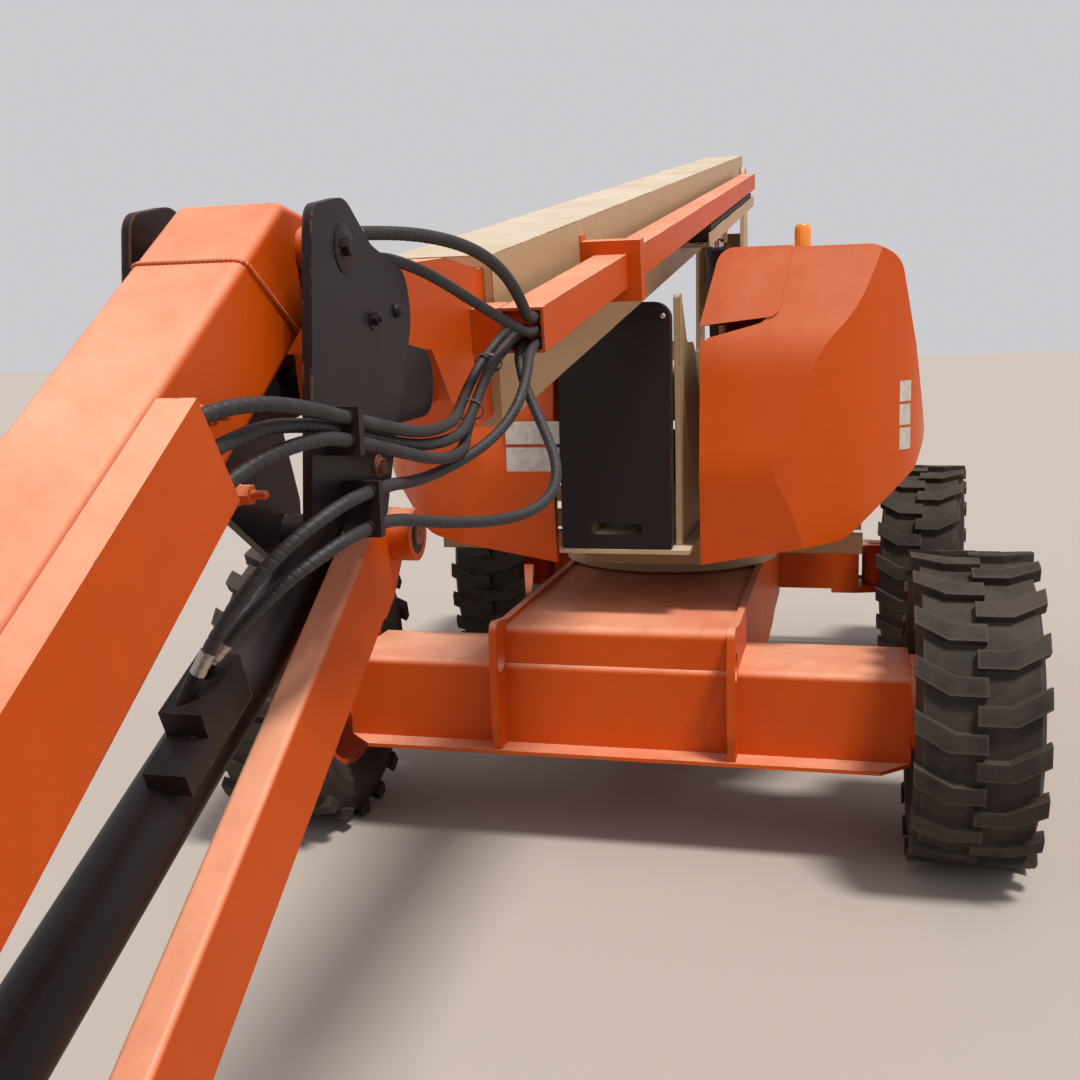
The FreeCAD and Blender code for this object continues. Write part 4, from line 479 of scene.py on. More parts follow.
    def hose(self) -> bpy.types.Material:
        """Hose rubber under a spiral wrap, greyed on top by dust."""
        wiring, shader = self._start(Surface.HOSE.value)
        coords = wiring.add("ShaderNodeTexCoord").outputs
        dust = self._place(wiring, self.dust, {"Amount": 0.55, "Reach": 3.0}).outputs
        cloud = wiring.noise(coords["Object"], 24.0, 6.0, 0.7, 0.4)
        colour = wiring.mix(wiring.ramp(cloud, 0.35, 0.7), (0.011, 0.009, 0.010, 1.0),
                            (0.026, 0.022, 0.024, 1.0))
        colour = wiring.mix(dust["Mask"], colour, (0.075, 0.064, 0.064, 1.0))
        weave = wiring.noise(coords["Object"], 700.0, 2.0, 0.6)
        bump = wiring.add("ShaderNodeBump", {"Height": weave, "Strength": 0.3, "Distance": 0.0004})
        rough = wiring.math("MULTIPLY_ADD", cloud, 0.25, 0.45)
        links = wiring.tree.links
        links.new(colour, shader.inputs["Base Color"])
        links.new(rough, shader.inputs["Roughness"])
        links.new(bump.outputs["Normal"], shader.inputs["Normal"])
        return self._keep(Surface.HOSE, wiring)

    def metal(self, surface: Surface, bright: Colour, rusted: Colour, rusting: float) -> bpy.types.Material:
        """Bare or plated steel with rust in patches.

        Args:
            surface: the finish's name.
            bright: the clean metal's colour.
            rusted: the rust's colour.
            rusting: how much of it has rusted, from 0 to 1.

        Returns:
            Its material.
        """
        wiring, shader = self._start(surface.value)
        coords = wiring.add("ShaderNodeTexCoord").outputs
        cloud = wiring.noise(coords["Object"], 55.0, 6.0, 0.7, 0.4)
        share = wiring.ramp(cloud, 0.72 - 0.5 * rusting, 0.86 - 0.5 * rusting)
        colour = wiring.mix(share, rgba(bright), rgba(rusted))
        links = wiring.tree.links
        links.new(colour, shader.inputs["Base Color"])
        links.new(wiring.math("MULTIPLY_ADD", share, 0.45, 0.34), shader.inputs["Roughness"])
        links.new(wiring.math("MULTIPLY_ADD", share, -0.85, 0.9), shader.inputs["Metallic"])
        bump = wiring.add("ShaderNodeBump", {"Height": cloud, "Strength": 0.4, "Distance": 0.0008})
        links.new(bump.outputs["Normal"], shader.inputs["Normal"])
        return self._keep(surface, wiring)

    def label(self) -> bpy.types.Material:
        """A blank printed label, yellowed and scuffed."""
        wiring, shader = self._start(Surface.LABEL.value)
        coords = wiring.add("ShaderNodeTexCoord").outputs
        cloud = wiring.noise(coords["Object"], 26.0, 6.0, 0.75, 0.6)
        colour = wiring.mix(wiring.ramp(cloud, 0.35, 0.8), (0.60, 0.55, 0.50, 1.0),
                            (0.36, 0.27, 0.22, 1.0))
        wiring.tree.links.new(colour, shader.inputs["Base Color"])
        wiring.tree.links.new(wiring.math("MULTIPLY_ADD", cloud, 0.3, 0.3), shader.inputs["Roughness"])
        return self._keep(Surface.LABEL, wiring)

    def open(self) -> None:
        """Makes every finish."""
        for coat in COATS:
            self.coat(coat)
        self.rubber()
        self.chrome()
        self.plastic()
        self.lens()
        self.hose()
        self.metal(Surface.ZINC, (0.42, 0.39, 0.36), (0.20, 0.10, 0.06), 0.25)
        self.metal(Surface.RUSTY, (0.34, 0.15, 0.07), (0.22, 0.07, 0.03), 0.8)
        self.label()

    def dress(self, piece: bpy.types.Object, surface: Surface) -> None:
        """Gives a piece one finish all over.

        Args:
            piece: the object.
            surface: its finish.
        """
        piece.data.materials.clear()
        piece.data.materials.append(self.made[surface])


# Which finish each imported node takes; a name that ends in a star stands for all that start with it.
NODE_FINISHES = {
    "chassis_frame": Surface.ORANGE, "steer_axle": Surface.ORANGE, "knuckle_*": Surface.ORANGE,
    "tie_rod": Surface.DARK, "turntable_frame": Surface.CREAM,
    "drive_axle": Surface.ORANGE, "hood_arms": Surface.CREAM, "hood_posts": Surface.CREAM,
    "counterweight": Surface.IRON,
    "engine": Surface.IRON, "hood_*": Surface.HOOD, "front_cover": Surface.DARK, "beacon": Surface.LENS,
    "tower_base": Surface.CREAM, "tower_fly": Surface.ORANGE, "upright": Surface.CREAM,
    "main_boom_base": Surface.CREAM, "tube_collar": Surface.ORANGE, "power_track": Surface.PLASTIC,
    "fly_boom": Surface.ORANGE, "track_tube": Surface.ORANGE, "jib_bracket": Surface.DARK,
    "jib_beam": Surface.ORANGE, "hose_box": Surface.ORANGE, "jib_link": Surface.ORANGE,
    "platform_support": Surface.DARK, "platform_yoke": Surface.DARK, "platform_floor": Surface.DARK,
    "platform_rails": Surface.CREAM, "gate": Surface.CREAM, "control_box": Surface.PLASTIC,
    "hose_*": Surface.HOSE,
    "tyre_*": Surface.RUBBER, "rim_*": Surface.ORANGE, "tower_cylinder_barrel": Surface.DARK,
    "main_cylinder_barrel": Surface.DARK, "jib_cylinder_barrel": Surface.DARK,
    "tower_cylinder_rod": Surface.CHROME, "main_cylinder_rod": Surface.CHROME,
    "jib_cylinder_rod": Surface.CHROME,
}


def finish_of(node: str) -> Surface:
    """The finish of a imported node, by its own name or by the star that covers it."""
    if node in NODE_FINISHES:
        return NODE_FINISHES[node]
    return next(v for k, v in NODE_FINISHES.items() if k.endswith("*") and node.startswith(k[:-1]))


@dataclass
class Studio:
    """The pale floor, the soft lights and the photograph's camera."""

    floor_half: float = 60.0
    sky_strength: float = 0.62
    sun_strength: float = 3.4
    sun_spread: float = 12.0

    def build(self, view: Viewpoint) -> None:
        """Makes the camera, the floor and the lights.

        Args:
            view: where the camera stands.
        """
        self._camera(view)
        self._floor()
        self._lights()
        bpy.context.scene.view_settings.view_transform = "Standard"

    def _camera(self, view: Viewpoint) -> None:
        """Sets the camera: forward, right and up from its heading, its fall and its roll."""
        yaw = math.radians(view.heading)
        fall = math.radians(view.down)
        roll = math.radians(view.roll)
        forward = Vector((-math.cos(yaw) * math.cos(fall), -math.sin(yaw) * math.cos(fall), -math.sin(fall)))
        right = forward.cross(Vector((0.0, 0.0, 1.0))).normalized()
        up = right.cross(forward)
        tilted_right = right * math.cos(roll) + up * math.sin(roll)
        tilted_up = up * math.cos(roll) - right * math.sin(roll)
        data = bpy.data.cameras.new("photo_camera")
        data.sensor_width = view.sensor_mm
        data.lens = view.focal_px / view.frame_px * view.sensor_mm
        data.clip_end = 200.0
        camera = bpy.data.objects.new("photo_camera", data)
        turn = Matrix((tilted_right, tilted_up, -forward)).transposed().to_4x4()
        camera.matrix_world = Matrix.Translation(Vector(view.position)) @ turn
        bpy.context.scene.collection.objects.link(camera)
        bpy.context.scene.camera = camera

    def _floor(self) -> None:
        """A wide plain floor."""
        half = self.floor_half
        mesh = bpy.data.meshes.new("floor")
        mesh.from_pydata([(-half, -half, 0.0), (half, -half, 0.0), (half, half, 0.0), (-half, half, 0.0)], [],
                         [(0, 1, 2, 3)])
        floor = bpy.data.objects.new("floor", mesh)
        bpy.context.scene.collection.objects.link(floor)
        material = bpy.data.materials.new("pale_floor")
        material.use_nodes = True
        shader = material.node_tree.nodes["Principled BSDF"]
        shader.inputs["Base Color"].default_value = (0.40, 0.35, 0.315, 1.0)
        shader.inputs["Roughness"].default_value = 0.9
        mesh.materials.append(material)

    def _lights(self) -> None:
        """An even pale sky and one wide soft sun from behind the machine's left."""
        world = bpy.data.worlds.new("soft_sky")
        world.use_nodes = True
        background = world.node_tree.nodes["Background"]
        background.inputs["Color"].default_value = (0.97, 0.96, 1.0, 1.0)
        background.inputs["Strength"].default_value = self.sky_strength
        bpy.context.scene.world = world
        light = bpy.data.lights.new("key", "SUN")
        light.energy = self.sun_strength
        light.angle = math.radians(self.sun_spread)
        light.color = (1.0, 0.96, 0.9)
        key = bpy.data.objects.new("key", light)
        key.rotation_euler = Vector((0.25, 0.35, 1.0)).to_track_quat("Z", "Y").to_euler()
        bpy.context.scene.collection.objects.link(key)


@dataclass(frozen=True)
class HoseRun:
    """One hose between its two holds: the bodies it joins, its size, its far end's sleeve and its route."""

    node: str
    near_body: str
    far_body: str
    length: float
    diameter: float
    sleeved: bool
    route: tuple[Place, ...]


HOSE_RUNS = (
    HoseRun("hose_high", "fly", "jib_bracket", 0.615, 0.018, True,
             ((1.0531, 0.1950, 1.6674), (1.1089, 0.1950, 1.6588), (1.1735, 0.2020, 1.6840),
              (1.2295, 0.2040, 1.7090), (1.2855, 0.2010, 1.7320), (1.3445, 0.1930, 1.7500),
              (1.4025, 0.1790, 1.7630), (1.4585, 0.1570, 1.7710), (1.5145, 0.1310, 1.7740),
              (1.5752, 0.0980, 1.7718), (1.6315, 0.0980, 1.7670))),
    HoseRun("hose_upper", "fly", "jib_bracket", 0.546, 0.016, True,
             ((1.0498, 0.1950, 1.6457), (1.1049, 0.1950, 1.6371), (1.1695, 0.1860, 1.6500),
              (1.2275, 0.1740, 1.6660), (1.2835, 0.1600, 1.6840), (1.3405, 0.1490, 1.7010),
              (1.3975, 0.1370, 1.7180), (1.4535, 0.1220, 1.7330), (1.5162, 0.0984, 1.7449),
              (1.5715, 0.0970, 1.7380))),
    HoseRun("hose_inner", "fly", "jib_bracket", 0.757, 0.016, False,
             ((1.0498, 0.1510, 1.6457), (1.1071, 0.1510, 1.6368), (1.1645, 0.1330, 1.6000),
              (1.2175, 0.1260, 1.5660), (1.2745, 0.1290, 1.5390), (1.3345, 0.1390, 1.5220),
              (1.3955, 0.1500, 1.5150), (1.4585, 0.1580, 1.5130), (1.5215, 0.1600, 1.5120),
              (1.5835, 0.1580, 1.5160), (1.6465, 0.1550, 1.5250), (1.7133, 0.1520, 1.5365),
              (1.7705, 0.1520, 1.5460))),
    HoseRun("hose_middle", "fly", "jib_bracket", 0.765, 0.016, False,
             ((1.0498, 0.1730, 1.6457), (1.1077, 0.1730, 1.6367), (1.1675, 0.1540, 1.6030),
              (1.2175, 0.1470, 1.5650), (1.2705, 0.1470, 1.5300), (1.3295, 0.1520, 1.5060),
              (1.3925, 0.1580, 1.4950), (1.4555, 0.1580, 1.4920), (1.5195, 0.1540, 1.4930),
              (1.5825, 0.1480, 1.4990), (1.6455, 0.1420, 1.5100), (1.7126, 0.1390, 1.5224),
              (1.7705, 0.1390, 1.5320))),
    HoseRun("hose_outer", "fly", "jib_bracket", 0.773, 0.016, False,
             ((1.0464, 0.1510, 1.6239), (1.1004, 0.1510, 1.6156), (1.1525, 0.1350, 1.5760),
              (1.1985, 0.1290, 1.5390), (1.2485, 0.1320, 1.5080), (1.3035, 0.1420, 1.4880),
              (1.3605, 0.1550, 1.4750), (1.4185, 0.1630, 1.4700), (1.4785, 0.1660, 1.4700),
              (1.5375, 0.1640, 1.4760), (1.5955, 0.1600, 1.4870), (1.6535, 0.1550, 1.4990),
              (1.7166, 0.1520, 1.5110), (1.7705, 0.1520, 1.5200))),
    HoseRun("hose_low", "fly", "jib_bracket", 0.731, 0.016, False,
             ((1.0464, 0.1950, 1.6239), (1.1018, 0.1950, 1.6153), (1.1595, 0.2050, 1.5810),
              (1.2075, 0.2070, 1.5440), (1.2555, 0.1990, 1.5080), (1.3065, 0.1820, 1.4800),
              (1.3595, 0.1590, 1.4590), (1.4165, 0.1410, 1.4470), (1.4765, 0.1340, 1.4430),
              (1.5375, 0.1360, 1.4450), (1.5975, 0.1440, 1.4500), (1.6624, 0.1540, 1.4570),
              (1.7185, 0.1540, 1.4570))),
    HoseRun("hose_drop", "fly", "jib_bracket", 0.806, 0.016, False,
             ((1.0464, 0.1730, 1.6239), (1.1026, 0.1730, 1.6152), (1.1525, 0.1930, 1.5670),
              (1.1915, 0.2190, 1.5270), (1.2285, 0.2470, 1.4870), (1.2705, 0.2730, 1.4490),
              (1.3205, 0.2860, 1.4160), (1.3775, 0.2800, 1.3930), (1.4345, 0.2570, 1.3830),
              (1.4895, 0.2300, 1.3840), (1.5435, 0.2010, 1.3900), (1.5985, 0.1750, 1.4000),
              (1.6616, 0.1500, 1.4130), (1.7185, 0.1500, 1.4130))),
    HoseRun("hose_inner_jib", "jib_bracket", "jib", 0.313, 0.016, False,
             ((1.7945, 0.1520, 1.5500), (1.8351, 0.1520, 1.5568), (1.8825, 0.1520, 1.5650),
              (1.9265, 0.1470, 1.5720), (1.9695, 0.1360, 1.5770), (2.0115, 0.1190, 1.5760),
              (2.0563, 0.1011, 1.5658), (2.0905, 0.0990, 1.5430))),
    HoseRun("hose_middle_jib", "jib_bracket", "jib", 0.286, 0.016, False,
             ((1.7945, 0.1390, 1.5360), (1.8378, 0.1390, 1.5432), (1.8885, 0.1330, 1.5490),
              (1.9355, 0.1260, 1.5510), (1.9815, 0.1150, 1.5450), (2.0301, 0.1001, 1.5313),
              (2.0665, 0.0990, 1.5069))),
    HoseRun("hose_outer_jib", "jib_bracket", "jib", 0.270, 0.016, False,
             ((1.7945, 0.1520, 1.5240), (1.8353, 0.1520, 1.5308), (1.8835, 0.1460, 1.5310),
              (1.9265, 0.1340, 1.5260), (1.9665, 0.1180, 1.5140), (2.0077, 0.1011, 1.4932),
              (2.0420, 0.0990, 1.4703))),
    HoseRun("hose_low_valve", "jib_bracket", "jib_cylinder_barrel", 0.325, 0.016, True,
             ((1.7425, 0.1540, 1.4570), (1.7853, 0.1540, 1.4570), (1.8305, 0.1350, 1.4410),
              (1.8645, 0.1120, 1.4190), (1.8895, 0.0860, 1.3900), (1.9045, 0.0590, 1.3550),
              (1.9141, 0.0320, 1.3136), (1.9185, 0.0120, 1.2760))),
    HoseRun("hose_drop_valve", "jib_bracket", "jib_cylinder_barrel", 0.268, 0.016, True,
             ((1.7425, 0.1500, 1.4130), (1.7837, 0.1500, 1.4130), (1.8265, 0.1300, 1.3970),
              (1.8555, 0.1030, 1.3760), (1.8725, 0.0730, 1.3480), (1.8845, 0.0400, 1.3142),
              (1.8845, 0.0120, 1.2840))),
)


class Gather:
    """Collects many small solids into one mesh, each with its own finish."""

    CREASE = math.radians(32.0)

    def __init__(self) -> None:
        """Starts empty."""
        self.points: list[np.ndarray] = []
        self.faces: list[list[int]] = []
        self.finish: list[int] = []
        self.surfaces: list[Surface] = []
        self.count = 0

    def add(self, points: np.ndarray, faces: list[list[int]], surface: Surface) -> None:
        """Adds one solid.

        Args:
            points: its corners, one row each.
            faces: its faces, by corner number.
            surface: its finish.
        """
        if surface not in self.surfaces:
            self.surfaces.append(surface)
        self.faces += [[number + self.count for number in face] for face in faces]
        self.finish += [self.surfaces.index(surface)] * len(faces)
        self.points.append(points)
        self.count += len(points)

    def piece(self, name: str, shop: PaintShop) -> bpy.types.Object:
        """The collected solids as one object, sharp at the edges that turn by more than its crease.

        Args:
            name: the object's name.
            shop: where its finishes come from.

        Returns:
            The object, at the origin.
        """
        mesh = bpy.data.meshes.new(name)
        mesh.from_pydata(np.concatenate(self.points).tolist(), [], self.faces)
        for surface in self.surfaces:
            mesh.materials.append(shop.made[surface])
        mesh.polygons.foreach_set("material_index", np.array(self.finish, dtype=np.int32))
        mesh.shade_smooth()
        mesh.set_sharp_from_angle(angle=self.CREASE)
        mesh.update()
        piece = bpy.data.objects.new(name, mesh)
        bpy.context.scene.collection.objects.link(piece)
        log.info("made %s", name)
        return piece


def tube_faces(rings: int, sides: int) -> list[list[int]]:
    """The faces of a tube of rings, each ring counted round the way it runs, with its two ends closed.

    Args:
        rings: how many rings.
        sides: how many points to a ring.

    Returns:
        The faces, by point number.
    """
    index = np.arange(rings * sides).reshape(rings, sides)
    after = np.roll(index, -1, axis=1)
    faces = np.stack((index[:-1], after[:-1], after[1:], index[1:]), axis=-1).reshape(-1, 4).tolist()
    faces.append(index[0][::-1].tolist())
    faces.append(index[-1].tolist())
    return faces


def across(axis: np.ndarray) -> tuple[np.ndarray, np.ndarray]:
    """Two unit directions square to the axis, turning the right way about it."""
    helper = np.array((0.0, 0.0, 1.0)) if abs(axis[2]) < 0.9 else np.array((1.0, 0.0, 0.0))
    first = np.cross(helper, axis)
    first /= np.linalg.norm(first)
    return first, np.cross(axis, first)


def turned_solid(profile: tuple[tuple[float, float, bool], ...], centre: Place, axis: Place,
                 sides: int = 24) -> tuple[np.ndarray, list[list[int]]]:
    """A solid of revolution: each row of the profile is a ring of its radius at its height on the axis.
    A hexagonal row's radius is its flat's distance over the cosine of the angle from that flat's middle.

    Args:
        profile: rows of radius, height and whether the row is hexagonal, from the foot up.
        centre: the foot's middle.
        axis: the way up.
        sides: how many points to a ring, a multiple of 6.

    Returns:
        The points and faces.
    """
    up = np.array(axis, dtype=float)
    up /= np.linalg.norm(up)
    first, second = across(up)
    angle = np.arange(sides) * 2.0 * np.pi / sides
    rows = np.array([(radius, height) for radius, height, _ in profile])
    hexed = np.array([row[2] for row in profile])[:, None]
    off_flat = np.mod(angle, np.pi / 3.0) - np.pi / 6.0
    reach = np.where(hexed, rows[:, :1] / np.cos(off_flat)[None, :], rows[:, :1])
    ring = np.cos(angle)[:, None] * first + np.sin(angle)[:, None] * second
    points = np.array(centre) + reach[:, :, None] * ring[None] + rows[:, 1][:, None, None] * up
    return points.reshape(-1, 3), tube_faces(len(profile), sides)


class HoseSet:
    """The hydraulic hoses between the boom's nose, its bracket, the jib and the jib's cylinder."""

    SIDES = 14
    WRAP_PITCH = 0.012
    WRAP_DEPTH = 0.0009
    BAND_SHARE = 0.35
    GROOVE_POWER = 14
    SLEEVE = 0.030
    SLEEVE_SHARE = 1.16
    CRIMP_SHARE = 0.06
    CRIMP_STEP = 0.004
    CRIMP_POWER = 8
    CURVE_STEPS = 48
    CURVE_ORDER = 3
    REPEATED = 1e-6

    def __init__(self, shop: PaintShop) -> None:
        """Keeps the paint shop.

        Args:
            shop: where the finishes come from.
        """
        self.shop = shop

    @staticmethod
    def centre_line(run: HoseRun) -> np.ndarray:
        """The points that Blender gives for the route's smooth curve.

        Args:
            run: the hose.

        Returns:
            The points, one row each.
        """
        curve = bpy.data.curves.new(run.node + "_line", "CURVE")
        curve.dimensions = "3D"
        curve.resolution_u = HoseSet.CURVE_STEPS
        spline = curve.splines.new("NURBS")
        spline.points.add(len(run.route) - 1)
        weights = np.ones((len(run.route), 1))
        spline.points.foreach_set("co", np.hstack((np.array(run.route), weights)).ravel())
        spline.order_u = HoseSet.CURVE_ORDER
        spline.use_endpoint_u = True
        line = bpy.data.objects.new(run.node + "_line", curve)
        mesh = bpy.data.meshes.new_from_object(line)
        points = np.empty(len(mesh.vertices) * 3)
        mesh.vertices.foreach_get("co", points)
        bpy.data.meshes.remove(mesh)
        bpy.data.objects.remove(line)
        bpy.data.curves.remove(curve)
        points = points.reshape(-1, 3)
        moved = np.linalg.norm(np.diff(points, axis=0), axis=1) > HoseSet.REPEATED
        return points[np.concatenate(([True], moved))]

    def build(self) -> None:
        for run in HOSE_RUNS:
            self._hose(run)

    def _hose(self, run: HoseRun) -> None:
        """One hose: a circle carried along its line in a spiral wrap, with a pressed sleeve at its fitting.
        Its groove is a high power of a raised cosine of the angle less a turn for each pitch of length.

        Args:
            run: the hose.
        """
        line = self.centre_line(run)
        steps = np.linalg.norm(np.diff(line, axis=0), axis=1)
        along = np.concatenate(([0.0], np.cumsum(steps)))
        ahead = np.gradient(line, axis=0)
        ahead /= np.linalg.norm(ahead, axis=1, keepdims=True)
        side = np.array((0.0, 1.0, 0.0)) - ahead * ahead[:, 1:2]
        side /= np.linalg.norm(side, axis=1, keepdims=True)
        other = np.cross(ahead, side)
        angle = np.arange(self.SIDES) * 2.0 * np.pi / self.SIDES
        wave = 0.5 + 0.5 * np.cos(angle[None, :] - 2.0 * np.pi * along[:, None] / self.WRAP_PITCH)
        radius = run.diameter / 2.0 + self.WRAP_DEPTH * (self.BAND_SHARE - wave**self.GROOVE_POWER)
        crimp = self.CRIMP_SHARE * np.cos(along / self.CRIMP_STEP)[:, None] ** self.CRIMP_POWER
        pressed = run.diameter / 2.0 * (self.SLEEVE_SHARE - crimp)
        sleeved = run.sleeved & (along > along[-1] - self.SLEEVE)
        radius = np.where(sleeved[:, None], pressed, radius)
        cosine = np.cos(angle)[None, :, None]
        sine = np.sin(angle)[None, :, None]
        ring = cosine * side[:, None] + sine * other[:, None]
        points = line[:, None] + radius[:, :, None] * ring
        faces = tube_faces(len(line), self.SIDES)
        mesh = bpy.data.meshes.new(run.node + "_wrapped")
        mesh.from_pydata(points.reshape(-1, 3).tolist(), [], faces)
        mesh.materials.append(self.shop.made[Surface.HOSE])
        mesh.materials.append(self.shop.made[Surface.ZINC])
        metal = np.repeat(sleeved[:-1] & sleeved[1:], self.SIDES)
        metal = np.concatenate((metal, (False, run.sleeved)))
        mesh.polygons.foreach_set("material_index", metal.astype(np.int32))
        mesh.shade_smooth()
        piece = bpy.data.objects.new(run.node + "_wrapped", mesh)
        bpy.context.scene.collection.objects.link(piece)
        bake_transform(piece)
        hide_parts(run.node)
        log.info("laid %s", run.node)


class Head(Enum):
    """The kinds of fastener head, and a thin disc of painted shade: rows of radius and height in shares of
    its width, and if it's hexagonal.
    """

    HEX = ((0.78, 0.0, False), (0.78, 0.08, False), (0.50, 0.08, True), (0.50, 0.42, True),
           (0.44, 0.50, False))
    NUT = ((0.84, 0.0, False), (0.84, 0.09, False), (0.50, 0.09, True), (0.50, 0.52, True),
           (0.42, 0.58, False), (0.26, 0.58, False), (0.26, 0.74, False), (0.22, 0.78, False))
    DOME = ((0.50, 0.0, False), (0.50, 0.10, False), (0.44, 0.26, False), (0.30, 0.38, False),
            (0.12, 0.43, False))
    PIN = ((0.50, 0.0, False), (0.50, 0.10, False), (0.47, 0.14, False), (0.20, 0.14, False),
           (0.18, 0.20, False), (0.10, 0.22, False))
    # A thin dark disc and no real part: painted shade over the orange floor of the jib pivot's recess.
    SHADE_DISC = ((0.5, 0.0, False), (0.5, 0.012, False), (0.48, 0.022, False))
    STUD = ((0.62, 0.0, False), (0.62, 0.35, False), (0.50, 0.40, True), (0.50, 1.10, True),
            (0.26, 1.14, False), (0.24, 1.90, False), (0.16, 2.0, False))


@dataclass(frozen=True)
class Fastener:
    """One head: where it sits, which way it points, its width and its finish."""

    body: str
    place: Place
    axis: Place
    width: float
    head: Head
    surface: Surface


LEFT = (0.0, 1.0, 0.0)
RIGHT = (0.0, -1.0, 0.0)
FORWARD = (1.0, 0.0, 0.0)

FASTENERS = (
    Fastener("jib", (1.6975, 0.1205, 1.746), LEFT, 0.021, Head.HEX, Surface.DARK),
    Fastener("jib", (1.6975, -0.1205, 1.746), RIGHT, 0.021, Head.HEX, Surface.DARK),
    # Thin dark discs round the jib pivot bolts: painted shade over the recess floor, which is orange.
    Fastener("jib", (1.6965, 0.1204, 1.745), LEFT, 0.060, Head.SHADE_DISC, Surface.DARK),
    Fastener("jib", (1.6965, -0.1204, 1.745), RIGHT, 0.060, Head.SHADE_DISC, Surface.DARK),
    Fastener("jib_bracket", (1.6135, 0.120, 1.662), LEFT, 0.017, Head.NUT, Surface.DARK),
    Fastener("jib_bracket", (1.5285, 0.120, 1.673), LEFT, 0.019, Head.DOME, Surface.DARK),
    Fastener("jib_bracket", (1.6175, 0.120, 1.475), LEFT, 0.019, Head.HEX, Surface.RUSTY),
    Fastener("jib_bracket", (1.6135, -0.120, 1.662), RIGHT, 0.017, Head.NUT, Surface.DARK),
    Fastener("jib_bracket", (1.5285, -0.120, 1.673), RIGHT, 0.019, Head.DOME, Surface.DARK),
    Fastener("jib_bracket", (1.6175, -0.120, 1.475), RIGHT, 0.019, Head.HEX, Surface.RUSTY),
    Fastener("jib_link", (1.4465, 0.1078, 1.357), LEFT, 0.030, Head.PIN, Surface.RUSTY),
    Fastener("jib", (1.9855, 0.0690, 1.566), LEFT, 0.020, Head.STUD, Surface.ORANGE),
    Fastener("jib", (1.9145, 0.0690, 1.477), LEFT, 0.020, Head.STUD, Surface.ORANGE),
    Fastener("turntable", (-0.8255, 0.1366, 1.6764), FORWARD, 0.020, Head.DOME, Surface.ZINC),
)


class Fittings:
    """The bolts, nuts and pin heads, and thin dark discs of painted shade, gathered into one piece for each
    body.
    """

    def __init__(self, shop: PaintShop) -> None:
        """Keeps the paint shop.

        Args:
            shop: where the finishes come from.
        """
        self.shop = shop

    def build(self) -> None:
        """Makes each body's fasteners."""
        bodies = sorted({item.body for item in FASTENERS})
        for body in bodies:
            gather = Gather()
            for item in (one for one in FASTENERS if one.body == body):
                profile = tuple((r * item.width, h * item.width, hexed) for r, h, hexed in item.head.value)
                points, faces = turned_solid(profile, item.place, item.axis)
                gather.add(points, faces, item.surface)
            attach(gather.piece(body + "_fasteners", self.shop), body)


@dataclass(frozen=True)
class HoseTie:
    """A plastic tie round a bundle of hoses: its middle, the bundle's direction and its two half widths."""

    centre: Place
    along: Place
    tall: float
    deep: float


TIES = (
    HoseTie((1.166, 0.141, 1.593), (0.80, -0.11, -0.59), 0.022, 0.017),
    HoseTie((1.276, 0.139, 1.524), (0.86, 0.06, -0.36), 0.022, 0.017),
)


class Bands:
    """The ties round the hoses: a flat band carried round an ellipse."""

    HALF_WIDTH = 0.0024
    THICK = 0.0014
    ROUND = 48

    def __init__(self, shop: PaintShop) -> None:
        """Keeps the paint shop.

        Args:
            shop: where the finishes come from.
        """
        self.shop = shop

    def build(self) -> None:
        """Makes the ties, which ride with the boom's nose."""
        for number, tie in enumerate(TIES, 1):
            gather = Gather()
            gather.add(*self._band(tie), Surface.PLASTIC)
            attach(gather.piece(f"hose_tie_{number}", self.shop), "fly")

    def _band(self, tie: HoseTie) -> tuple[np.ndarray, list[list[int]]]:
        """A rectangle carried round an ellipse: middle plus cosine and sine shares of the two half widths.

        Args:
            tie: the tie.

        Returns:
            The points and faces.
        """
        ahead = np.array(tie.along)
        ahead /= np.linalg.norm(ahead)
        first, second = across(ahead)
        angle = np.arange(self.ROUND) * 2.0 * np.pi / self.ROUND
        corner = np.array(((0.0, -1.0), (self.THICK, -1.0), (self.THICK, 1.0), (0.0, 1.0)))
        tall = tie.tall + corner[:, 0]
        deep = tie.deep + corner[:, 0]
        points = (np.array(tie.centre) + tall[None, :, None] * np.cos(angle)[:, None, None] * first
                  + deep[None, :, None] * np.sin(angle)[:, None, None] * second
                  + self.HALF_WIDTH * corner[None, :, 1:2] * ahead)
        index = np.arange(self.ROUND * len(corner)).reshape(self.ROUND, len(corner))
        beyond = np.roll(index, -1, axis=0)
        after = np.roll(index, -1, axis=1)
        both = np.roll(beyond, -1, axis=1)
        faces = np.stack((index, beyond, both, after), axis=-1).reshape(-1, 4)
        return points.reshape(-1, 3), faces.tolist()


